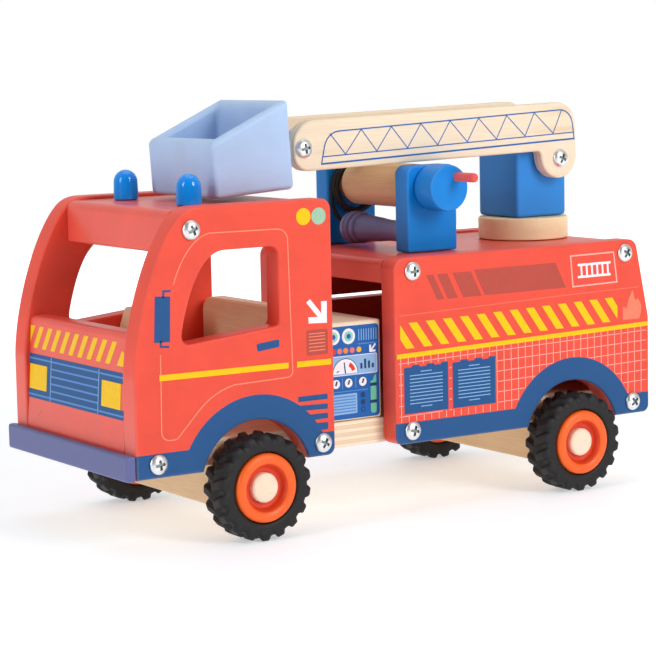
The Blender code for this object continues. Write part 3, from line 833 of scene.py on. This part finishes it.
def make_screws():
    """Pan-head screws with a cross recess. Each one stopped at its own angle."""
    profile = head_profile(0.3) + [(2.2, 0.3), (2.2, -21.0), (0.0, -22.0)]
    head = carve(lathe("screw", profile, (0, 0, 0), "Y", 40), cross_cutters(1.5, 2.5), "screw")
    metal(head, 2.5)
    number = 0
    for hand, side in SIDES:
        for label, spots in (("cab_screw", CAB_SCREWS), ("body_screw", BODY_SCREWS)):
            for place_number, (x, z) in enumerate(spots, 1):
                number += 1
                mesh = head.copy()
                mesh.transform(shift(x, side * HALF_WIDTH, z) @ turned(90 - 90 * side, "Z")
                               @ turned(53 * number))
                replace(f"{label}_{hand}_{place_number}", mesh, None, False)


def make_bolts():
    """The two bolts across the boom, a cross-recessed pan head at each end."""
    face = PLATE_IN + PLATE + 0.3
    top = head_profile(face) + [(3.0, face)]
    profile = top + [(r, -h) for r, h in reversed(top)]
    cutters = cross_cutters(1.4, face + 2.2) + cross_cutters(1.4, face + 2.2, -1)
    bolt = carve(lathe("bolt", profile, (0, 0, 0), "Y", 40), cutters, "bolt")
    metal(bolt, face + 2.2)
    boom_tip = at_pivot(PIVOT, BOOM_SLOPE, *BASKET_BOLT)
    for node, (x, z), angle in (("boom_bolt", PIVOT, 20), ("basket_bolt", boom_tip, -35)):
        mesh = bolt.copy()
        mesh.transform(shift(x, 0.0, z) @ turned(angle))
        replace(node, mesh, None, False)


# ---------------------------------------------------------------- wheels

LUGS = 18
LUG_HEIGHT = 2.2
LUG_STEPS = 14
LUG_SKEW = 0.30
TYRE_MIDDLE = 65.25
TYRE_R = 27.1
RECESS_R = 11.9


def lug_height(step, centre):
    """0 to 1: a lug with rounded flanks that fills a bit over half of a pitch."""
    wave = math.cos(2 * math.pi * (step - centre)) - math.cos(math.pi * 0.56)
    return max(0.0, min(1.0, 0.5 + 1.3 * wave))


def tyre_section():
    """Half of the tyre's cross-section: (radius, distance from the middle, place across the
    tread, how far lugs stand out, how far they lean outwards)."""
    carcass = TYRE_R - LUG_HEIGHT
    wall = [(17.9, 7.6, 0, 0, 0), (18.5, 8.3, 0, 0, 0), (19.6, 8.75, 0, 0, 0),
            (20.9, 8.8, 0, 0, 0), (21.7, 8.7, 1.5, 0.05, 1.2), (22.2, 8.6, 1.45, 0.45, 1.1),
            (22.9, 8.5, 1.35, 0.8, 1.0), (23.6, 8.3, 1.25, 0.95, 0.8), (24.2, 8.0, 1.1, 1, 0.5),
            (24.7, 7.5, 1.0, 1, 0.2)]
    tread = [(carcass, 7.1 * t, t, 1, 0) for t in (0.96, 0.7, 0.4, 0.2, 0.08)]
    return wall + tread


def tyre_mesh(name, x, side):
    """A knobbly tyre: lugs of the two shoulders stand half a pitch apart and slant."""
    half = tyre_section()
    section = [(*row, 1) for row in half] + [(*row, -1) for row in reversed(half)]
    shape = bmesh.new()
    rings = []
    pitch = 2 * math.pi / LUGS
    spots = [(lug, step / LUG_STEPS) for lug in range(LUGS) for step in range(LUG_STEPS)]
    for radius, out, across, reach, lean, hand in section:
        ring = []
        for lug, step in spots:
            own = lug_height(step, 0.25 if hand > 0 else 0.75)
            other = lug_height(step, 0.75 if hand > 0 else 0.25)
            share = max(0.0, 1 - across / 0.35)
            height = LUG_HEIGHT * reach * max(own, share * other)
            angle = (lug + step + LUG_SKEW * across) * pitch
            r = radius + height * math.cos(lean)
            y = TYRE_MIDDLE + hand * (out + 0.35 * height * math.sin(lean))
            ring.append(shape.verts.new(
                ((x + r * math.cos(angle)) * MM, side * y * MM,
                 (AXLE_Z + r * math.sin(angle)) * MM)))
        rings.append(ring)
    skin(shape, rings, True)
    return to_mesh(shape, name, 42.0)


def make_wheels():
    """Tyres, hubs and the dowels that show in the hubs' middles."""
    hub = [(9.6, 70.2), (10.4, 70.5), (10.9, 71.2), (11.2, 72.2), (11.6, 73.4), (12.2, 74.4),
           (13.1, 75.05), (14.2, 75.35), (15.5, 75.35), (16.7, 74.8), (17.4, 73.9), (17.6, 72.8),
           (17.6, 57.6), (8.0, 57.6), (8.0, 70.2)]
    dowel = [(0.0, 73.5), (5.2, 73.45), (6.6, 73.2), (7.35, 72.7), (7.7, 71.9)]
    dowel += [(r, -h) for r, h in reversed(dowel)]
    for end, x in WHEEL_X.items():
        centre = (x, 0.0, AXLE_Z)
        replace(end + "_axle", lathe("dowel", dowel, centre, "Y", 48, sharp=60.0), DOWEL)
        for hand, side in SIDES:
            axis = "Y" if side > 0 else "-Y"
            mesh = lathe("hub", hub, centre, axis, 72, closed=True, sharp=50.0)
            # the faces inside the hub's recess get the painted shade colour
            two_tone(mesh, x, AXLE_Z, (ORANGE, ORANGE_RECESS_SHADE), lambda away, _: away < RECESS_R)
            replace(f"{end}_hub_{hand}", mesh, None)
            replace(f"{end}_tyre_{hand}", tyre_mesh("tyre", x, side), RUBBER)


# ---------------------------------------------------------------- boom, basket and winch

def make_boom():
    """Turntable disc and the two boom plates."""
    low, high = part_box("turntable_disc")
    bottom, top = low.z / MM, high.z / MM
    radius = (high.x - low.x) / 2 / MM
    disc = [(4.3, top), (radius - 1.3, top), (radius - 0.5, top - 0.35), (radius, top - 1.2),
            (radius, bottom + 1.0), (radius - 0.4, bottom + 0.3), (radius - 1.0, bottom),
            (4.3, bottom)]
    replace("turntable_disc", lathe("disc", disc, (TURRET_X, 0, 0), "Z", 96, closed=True),
            BEECH_FLAT)
    for hand, side in SIDES:
        inner, outer = sorted((side * PLATE_IN, side * (PLATE_IN + PLATE)))
        mesh = slab("boom_plate", [plate_outline()], inner, outer, tip=about(PIVOT, BOOM_SLOPE))
        replace(f"boom_plate_{hand}", mesh, PLY_PLATE)


def make_basket():
    """The rescue basket: thick walls, sloping rim, all edges well rounded."""
    x, z = at_pivot(PIVOT, BOOM_SLOPE, *BASKET_BOLT)
    rear, front, low, half, wall, floor = 11.6, 59.3, -19.5, 33.6, 6.5, 7.0
    rear_top, front_top = 27.0, 8.8

    def rim(u):
        return rear_top + (front_top - rear_top) * (u - rear) / (front - rear)

    def ring(inset, height):
        corners = ((rear + inset, inset - half), (front - inset, inset - half),
                   (front - inset, half - inset), (rear + inset, half - inset))
        return [shape.verts.new((u * MM, y * MM, (rim(u) if height is None else height) * MM))
                for u, y in corners]

    shape = bmesh.new()
    rings = [ring(0.0, low), ring(0.0, None), ring(wall, None), ring(wall, low + floor)]
    shape.faces.new(rings[0])
    shape.faces.new(rings[-1])
    skin(shape, rings)
    bmesh.ops.recalc_face_normals(shape, faces=shape.faces)
    edges = [e for e in shape.edges if e.calc_face_angle() > math.radians(10)]
    bmesh.ops.bevel(shape, geom=edges, offset=2.7 * MM, segments=6, profile=0.5, affect="EDGES",
                    clamp_overlap=True)
    bmesh.ops.transform(shape, verts=shape.verts, matrix=about((x, z), BASKET_SLOPE))
    replace("basket", to_mesh(shape, "basket", 50.0), PALE_BLUE)


def make_winch():
    """Posts, drum, crank disc and its peg."""
    x, z = WINCH
    for hand, (low, high) in (("left", NEAR_POST), ("right", FAR_POST)):
        foot = DECK_TOP + 0.3
        post = rounded([(x - POST_HALF, foot, 1.5), (x + POST_HALF, foot, 1.5),
                        (x + POST_HALF, POST_TOP, 5.0), (x - POST_HALF, POST_TOP, 5.0)])
        replace(f"winch_post_{hand}", slab("post", [post], low, high), BLUE)
    centre = (x, 0.0, z)
    drum = [(4.3, 24.0), (DRUM_R - 0.8, 24.0), (DRUM_R, 23.2), (DRUM_R, -32.8),
            (DRUM_R - 0.4, -33.3), (COIL_SEAT_R, -33.3), (COIL_SEAT_R, -40.6), (4.3, -40.6)]
    replace("winch_drum", lathe("drum", drum, centre, "Y", 72, closed=True), BEECH)
    disc = [(0.0, 52.0), (CRANK_R - 1.2, 52.0), (CRANK_R - 0.5, 51.75), (CRANK_R - 0.15, 51.3),
            (CRANK_R, 50.7), (CRANK_R, 37.6), (CRANK_R - 0.2, 37.0), (CRANK_R - 0.8, 36.7),
            (0.0, 36.7)]
    replace("crank_disc", lathe("crank", disc, centre, "Y", 72), BLUE)
    peg = [(0.0, 68.6), (1.0, 68.5), (1.8, 68.1), (2.3, 67.4), (2.5, 66.4), (2.5, 45.4),
           (0.0, 45.4)]
    replace("crank_peg", lathe("peg", peg, (x + PEG_OFF[0], 0.0, z + PEG_OFF[1]), "Y", 32),
            PEG_RED)


def smooth_route(route, count):
    """A Catmull-Rom curve through the route's points, count steps to a stretch."""
    points = [Vector(p) for p in route]
    points = [2 * points[0] - points[1]] + points + [2 * points[-1] - points[-2]]
    out = []
    for i in range(1, len(points) - 2):
        a, b, c, d = points[i - 1:i + 3]
        for step in range(count):
            t = step / count
            out.append(0.5 * (2 * b + (c - a) * t + (2 * a - 5 * b + 4 * c - d) * t ** 2
                              + (3 * b - a - 3 * c + d) * t ** 3))
    return out + [points[-2]]


def make_hose():
    """One cord: wound on the drum, then down to the nozzle on the deck."""
    x, z = NOZZLE
    end = NOZZLE_END
    profile = [(0.0, 27.5), (5.6, 27.5), (5.8, 8.0), (6.6, 0.0), (7.4, end + 17.0),
               (7.2, end + 14.2), (7.4, end + 13.2), (8.3, end + 12.6), (8.6, end + 11.8),
               (8.6, end + 10.2), (8.2, end + 9.4), (7.6, end + 8.9), (7.6, end + 8.3),
               (8.5, end + 7.8), (9.0, end + 7.0), (9.0, end + 5.6), (8.5, end + 5.0),
               (8.5, end + 4.5), (8.9, end + 4.0), (8.9, end + 2.4), (8.5, end + 1.0),
               (7.4, end + 0.2), (6.2, end), (1.9, end), (1.6, end + 1.0), (0.0, end + 1.0)]
    nozzle = replace("nozzle", lathe("nozzle", profile, (x, 0.0, z), "Y", 56), GREY)
    turns = []
    per_turn = 40
    for step in range(COIL_TURNS * per_turn):
        part = step / (COIL_TURNS * per_turn)
        angle = 2 * math.pi * COIL_TURNS * (1 - part)
        radius = COIL_R + 0.5 * math.cos(angle / 2)
        turns.append(Vector((WINCH[0] + radius * math.cos(angle),
                             COIL_Y[0] + (COIL_Y[1] - COIL_Y[0]) * part,
                             COIL_Z + radius * math.sin(angle))))
    reach = WINCH[0] + COIL_R + 0.5
    down = [(reach, COIL_Y[1], COIL_Z), (reach + 0.1, COIL_Y[1], COIL_Z - 4.4)]
    points = turns + smooth_route(down + list(HOSE_ROUTE), 4) + [Vector((x, end + 3.5, z))]
    curve = bpy.data.curves.new("hose", "CURVE")
    curve.dimensions = "3D"
    curve.bevel_depth = CORD_R * MM
    curve.bevel_resolution = 4
    curve.use_fill_caps = True
    spline = curve.splines.new("POLY")
    spline.points.add(len(points) - 1)
    for point, spot in zip(spline.points, points):
        point.co = (*(spot * MM), 1.0)
    spline.use_smooth = True
    curve.materials.append(CORD)
    hose = add_object("hose", curve)
    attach(hose, BODY_OF["hose_lead"])
    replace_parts(hose, "hose_coil", "hose_lead")


# ---------------------------------------------------------------- prints

def slanted(z_top, z_bottom, top, width, shift):
    """A slanted stripe: its top runs from top to top + width and its foot is shifted."""
    return [(top, z_top), (top + width, z_top), (top + width + shift, z_bottom),
            (top + shift, z_bottom)]


def door_line():
    """The thin line around the cab's door, open at the mirror."""
    door = curve_points(((138.3, 131.6), (134.5, 142.5), (127.5, 153.6), (117.4, 155.5)), 14)
    door += rounded([(117.4, 155.5, 0), (73.0, 155.1, 6.0), (69.6, 134.0, 0)], 6)[1:-1]
    door += rounded([(69.6, 134.0, 0), (70.9, 80.2, 3.0), (100.6, 80.1, 0)], 5)[1:-1]
    door += curve_points(((100.6, 80.1), (113.0, 79.0), (121.3, 73.5), (127.0, 67.5)), 9)[1:]
    door += rounded([(127.0, 67.5, 0), (138.6, 55.8, 3.0), (147.2, 55.6, 4.5),
                     (146.5, 98.1, 0)], 6)[1:-1]
    return door + [(146.7, 84.0), (146.5, 98.1)]


def print_cab(hand, side):
    """Prints on the outer face of a side of the cab."""
    p = side_print("cab", hand, side, side * HALF_WIDTH)
    for bar in (((68.0, 69.6), (50.2, 69.6), (50.2, 66.8), (68.0, 66.9)),
                ((72.0, 65.2), (50.2, 64.5), (50.2, 61.8), (66.0, 62.2)),
                ((66.0, 59.9), (50.2, 59.7), (50.2, 57.0), (62.0, 56.8)),
                ((61.0, 55.2), (50.2, 54.9), (50.2, 51.3), (58.0, 51.3))):
        p.fill("blue", [list(bar)])
    p.fill("blue", [rounded([(91.9, 98.6, 0.9), (78.5, 99.9, 0.9), (78.4, 96.1, 0.9),
                             (91.3, 94.7, 0.9)])])
    p.fill("blue", [rounded([(148.7, 126.7, 0.5), (140.2, 126.2, 0.5), (141.0, 104.0, 0.5),
                             (149.8, 104.2, 0.5)])])
    p.line("blue", [(144.1, 125.8), (143.9, 128.9), (139.8, 128.8)], 1.1)
    p.line("blue", [(146.1, 104.9), (146.2, 102.1), (141.6, 101.6)], 1.1)
    p.fill("white", [[(61.9, 116.9), (59.6, 118.6), (52.9, 110.8), (53.0, 117.0),
                      (49.5, 116.9), (49.7, 105.8), (60.7, 106.3), (60.8, 109.5),
                      (55.1, 109.2)]])
    p.fill("maroon", [rect(49.4, 90.0, 62.2, 102.8, 0.8)])
    p.rows("peach", 51.0, 60.8, (100.9, 99.4, 97.7, 95.9, 94.1, 92.3), 0.45)
    p.line("peach", door_line(), 0.6)
    p.line("yellow", [(147.4, 86.8), (73.3, 86.2)], 2.9, level=2)
    p.line("yellow", [(68.2, 86.1), (47.6, 85.8)], 2.9, level=2)
    p.dot("yellow", 62.5, 160.4, 4.3)
    p.dot("sage", 53.4, 160.2, 4.3)
    p.finish()


def print_grille():
    """Prints on the grille board's sloping front."""
    foot, head = (Vector((x, 0, z)) for x, z in (GRILLE_FOOT, GRILLE_HEAD))
    up = (head - foot).normalized()
    p = Print("grille_print", "vehicle", foot - up * (foot.z / up.z), (0, 1, 0), up,
              (up.z, 0, -up.x))
    for k in range(9):
        p.fill("yellow", [slanted(103.4, 91.9, -42.3 + 10 * k, 4.6, -7.0)])
    p.fill("yellow", [[(-52.9, 103.4), (-47.6, 103.4), (-52.9, 94.4)]])
    p.fill("yellow", [[(47.8, 99.6), (50.6, 98.4), (50.8, 93.8), (49.0, 91.9), (42.8, 91.9)]])
    p.fill("blue", [rect(-52.9, 83.4, 51.4, 88.8), rect(-52.9, 65.6, 51.4, 70.4),
                    rect(-32.4, 70.4, 28.2, 83.4)])
    for low, high in ((28.2, 48.0), (-51.8, -32.4)):
        p.fill("yellow", [rect(low, 70.4, high, 83.4)], 3)
    p.rows("sky", -52.9, 51.4, (86.4, 67.5), 0.9)
    p.rows("sky", -27.6, 24.3, (82.6, 78.8, 75.0, 71.2), 0.9)
    for across in (-28.0, 24.6):
        p.line("pale", [(across, 66.0), (across, 88.4)], 0.6, level=2)
    p.finish()


def print_pump(hand, side):
    """Dials, lamps and levers on an end of the pump box."""
    low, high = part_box("pump_box")
    p = side_print("pump", hand, side, (high if side > 0 else low).y / MM)
    p.fill("panel", [rect(9.2, 52.6, 44.3, 101.2, 2.0)])
    for x, z in ((28.1, 95.8), (37.6, 96.0)):
        p.rings(x, z, (("white", 4.1), ("mint", 2.7), ("panel", 1.3)))
    for step in range(8):
        x = 10.8 + 1.55 * step
        p.line("pale", [(x, 93.0), (x, 99.0)], 0.45, level=2)
    p.rows("sky", 10.3, 22.2, (91.3,), 0.6)
    for x, colour in ((33.8, "coral"), (30.0, "orange"), (26.0, "coral"), (21.7, "amber"),
                      (37.6, "signal")):
        p.dot(colour, x, 88.4, 1.5, 2)
    p.fill("white", [[(10.9, 90.2), (11.6, 90.9), (14.1, 88.2), (14.0, 90.2), (15.2, 90.2),
                      (15.2, 86.4), (11.3, 86.4), (11.3, 87.5), (13.4, 87.5)]], 2)
    p.fill("white", [rect(10.4, 75.4, 40.8, 85.8, 1.0)], 2)
    p.fill("pale", [rect(10.75, 75.75, 40.45, 85.45, 0.8)], 3)
    p.fill("navy", [arc(30.6, 76.5, 8.0, 0, 180, 22)], 4)
    p.fill("white", [arc(30.6, 76.5, 7.6, 0, 180, 22)], 5)
    p.fill("signal", [arc(30.6, 76.5, 6.4, 165, 118, 8) + arc(30.6, 76.5, 4.2, 118, 165, 8)],
           6)
    p.line("navy", [(30.6, 76.5), (31.3, 82.4)], 0.7, level=6)
    p.line("navy", [(36.0, 77.6), (34.6, 78.2)], 0.5, level=6)
    for step, tall in enumerate((2.4, 3.8, 5.0, 3.0)):
        p.fill("navy", [rect(12.6 + 2.4 * step, 78.2, 13.9 + 2.4 * step, 78.2 + tall)], 4)
    for x in (36.4, 28.6, 19.7):
        p.rings(x, 71.4, (("navy", 2.8), ("white", 2.4)))
        p.line("navy", [(x + 0.3, 70.6), (x - 0.6, 72.9)], 1.0, level=4)
    for x in (32.4, 24.1):
        p.line("sky", [(x, 68.4), (x, 74.2)], 0.5, level=2)
    p.rows("sky", 16.6, 41.0, (67.1,), 0.5)
    p.fill("pale", [rect(23.4, 55.2, 40.6, 65.8, 0.6)], 2)
    p.rows("sky", 24.4, 39.6, [56.6 + 1.55 * step for step in range(6)], 0.7, 3)
    for z in (64.4, 60.6, 56.9):
        p.dot("navy", 19.7, z, 1.5, 2)
    p.dot("panel", 19.7, 56.9, 0.9, 3)
    p.fill("green", [rounded([(11.2, 54.2, 1.4), (14.8, 54.2, 1.4), (14.8, 71.0, 0),
                              (13.2, 71.6, 0), (12.4, 73.8, 0), (11.2, 74.6, 0)], 5)], 2)
    p.rows("navy", 10.8, 15.2, (69.3, 60.3), 1.7, 3)
    p.finish()


LOUVRES = ((-26.2, 2.3), (-57.7, -29.2))


def grid_lines(p):
    """The thin square net under the waist line, clear of the fender and the louvres."""
    slope = -0.0205

    def free(x, z):
        away = math.hypot(x - FENDER_X["rear"], z - ARCH_Z)
        covered = any(a - 0.6 < x < b + 0.6 and 53.0 < z < 79.2 for a, b in LOUVRES)
        return away > FENDER_R + 0.2 and z > 49.3 and not covered

    def draw(points):
        run = []
        for point in points + [None]:
            if point and free(*point):
                run.append(point)
                continue
            if len(run) > 2:
                p.line("rose", [run[0], run[-1]], 0.42)
            run = []

    x = 4.3
    while x > BODY_REAR + 2:
        top = 83.2 + slope * (x - 6.5)
        draw([(x, 49.4 + k * (top - 49.4) / 160) for k in range(161)])
        x -= 4.85
    for height in (80.4, 74.8, 69.2, 63.6, 58.0, 52.4):
        draw([(5.6 - k * 0.5, height + slope * (5.6 - k * 0.5 - 6.5)) for k in range(341)])


def print_body(hand, side):
    """Prints on the outer face of a side of the rear body."""
    p = side_print("body", hand, side, side * HALF_WIDTH)
    for start, end, top in ((-12.9, -17.4, 125.5), (-19.8, -26.4, 125.5),
                            (-29.9, -42.0, 125.5), (-44.2, -99.6, 126.1)):
        p.fill("maroon", [slanted(top, 112.1, end, start - end, -7.0)])
    frame = [(-110.2, 129.0), (-140.8, 129.2), (-143.2, 112.5), (-111.7, 112.1)]
    p.line("rose", frame, 0.8, True)
    p.rows("white", -115.2, -138.6, (117.1, 123.7), 1.3, 1)
    for step in range(6):
        x = -117.6 - 3.75 * step
        p.line("white", [(x, 123.6), (x - 0.4, 117.2)], 1.2, level=2)
    p.line("faint", [(4.5, 105.4), (-102.0, 107.8), (-159.4, 108.6)], 0.5)
    for k in range(12):
        x, z = -1.1 - 11.1 * k, 101.4 + 0.22 * k
        cut = max(0.0, z - SLOT_Z[0] + 2.0) if side < 0 else 0.0  # clear of the slot
        p.fill("yellow", [[(x - 0.74 * cut, z - cut), (x - 5.4 - 0.74 * cut, z - cut),
                           (x - 15.2, z - 13.3), (x - 9.8, z - 13.2)]])
    p.fill("yellow", [[(4.3, 100.8), (-4.6, 88.0), (0.6, 88.0), (4.3, 93.2)]])
    p.fill("yellow", [[(-134.3, 104.0), (-139.7, 104.0), (-143.5, 98.7), (-143.3, 92.0)]])
    p.fill("flame", [[
        (-147.4, 90.9), (-147.4, 97.4), (-148.4, 98.5), (-149.5, 96.9), (-150.4, 98.1),
        (-151.6, 102.2), (-153.4, 105.4), (-154.4, 107.2), (-155.1, 105.6), (-155.8, 102.8),
        (-157.0, 101.1), (-158.1, 102.5), (-159.5, 100.6), (-160.9, 98.1), (-160.7, 94.4),
        (-159.3, 90.8)]])
    p.line("yellow", [(6.6, 84.2), (-165.6, 87.5)], 2.4, level=2)
    grid_lines(p)
    for low_x, high_x in LOUVRES:
        comb = []
        pitch = (high_x - low_x) / 6
        for step in range(6):
            x, top = low_x + pitch * step, 79.0 - step % 2
            comb += [(x, top), (x + pitch - 0.8, top)]
        p.fill("blue", [[(high_x, 53.6), (low_x, 53.6)] + comb + [(high_x, 77.6)]])
        middle = (low_x + high_x) / 2
        for step in range(11):
            half = 3.6 if step in (0, 10) else 10.6
            p.rows("pale", middle - half, middle + half, [56.9 + 1.85 * step], 0.45)
    p.finish()


def print_boom(hand, side):
    """The truss printed on the outer face of a boom plate."""
    tip = about((0.0, 0.0), BOOM_SLOPE).to_3x3()
    p = Print(f"boom_print_{hand}", "boom",
              Vector((PIVOT[0], side * (PLATE_IN + PLATE), PIVOT[1])),
              tip @ Vector((1, 0, 0)), tip @ Vector((0, 0, 1)), (0, side, 0))
    frame_line = rounded([(160.6, 8.0, 0), (156.4, 24.4, 10.0), (-8.6, 27.2, 9.0),
                          (-10.6, 10.4, 0)], 10, False)
    p.line("panel", frame_line, 0.7)
    p.line("panel", [(160.9, 8.0), (-10.9, 10.4)], 0.9, level=2)
    p.line("panel", [(160.0, 11.7), (-10.2, 14.0)], 0.6)
    zigzag = [(154.6, 23.6)]
    for k in range(8):
        zigzag.append((145.2 - 20.1 * k, 12.2 + 0.3 * k))
        zigzag.append((134.6 - 19.5 * k, 24.6 + 0.3 * k))
    p.line("panel", zigzag, 0.55)
    p.finish()


# ---------------------------------------------------------------- surroundings

def make_floor():
    """A pale floor that grows brighter away from the engine, so that its edge isn't seen."""
    shape = bmesh.new()
    bmesh.ops.create_grid(shape, x_segments=1, y_segments=1, size=FLOOR_HALF)
    floor = add_object("floor", to_mesh(shape, "floor"))
    n = Nodes(bpy.data.materials.new("pale_floor"))
    n.finish(n.ramp(n.noise(40.0), [(0.3, (0.72, 0.77, 0.82)), (0.7, (0.74, 0.79, 0.84))]), 0.6,
             [], Emission_Color=(1.0, 1.0, 1.0, 1.0))
    away = n.add("ShaderNodeVectorMath", operation="LENGTH")
    n.link(n.coords["Object"], away.inputs[0])
    n.link(n.ramp(away.outputs["Value"], FLOOR_GLOW), n.shader.inputs["Emission Strength"])
    floor.data.materials.append(n.owner)


def make_world():
    """White behind the engine; as light, a soft glow that is strongest from BRIGHT_SIDE."""
    n = Nodes(bpy.data.worlds.new("studio"), "Background")
    facing = n.add("ShaderNodeVectorMath", operation="DOT_PRODUCT")
    facing.inputs[1].default_value = BRIGHT_SIDE
    n.link(n.coords["Generated"], facing.inputs[0])
    spread = n.add("ShaderNodeMapRange")
    n.feed(spread.inputs, (facing.outputs["Value"], *WORLD_SPREAD, *WORLD_LIGHT))
    to_camera = n.add("ShaderNodeLightPath").outputs["Is Camera Ray"]
    strength = n.math("MAXIMUM", to_camera, spread.outputs[0])
    n.feed(n.shader.inputs, ((1.0, 1.0, 1.0), strength))
    bpy.context.scene.world = n.owner


def make_lights():
    """Soft lights in front, at the engine's left and above."""
    for name, spot, aim, size, power in LIGHTS:
        data = bpy.data.lights.new(name, "AREA")
        data.shape = "RECTANGLE"
        data.size, data.size_y = size
        data.energy = power
        toward = Vector(aim) - Vector(spot)
        add_object(name, data).matrix_world = (
            Matrix.Translation(spot) @ toward.to_track_quat("-Z", "Y").to_matrix().to_4x4())


bpy.context.scene.view_settings.view_transform = "Standard"
make_camera()
make_hose()
make_boards()
make_beacons()
make_screws()
make_bolts()
make_wheels()
make_boom()
make_basket()
make_winch()
print_grille()
for hand_and_side in SIDES:
    print_cab(*hand_and_side)
    print_pump(*hand_and_side)
    print_body(*hand_and_side)
    print_boom(*hand_and_side)
make_floor()
make_world()
make_lights()
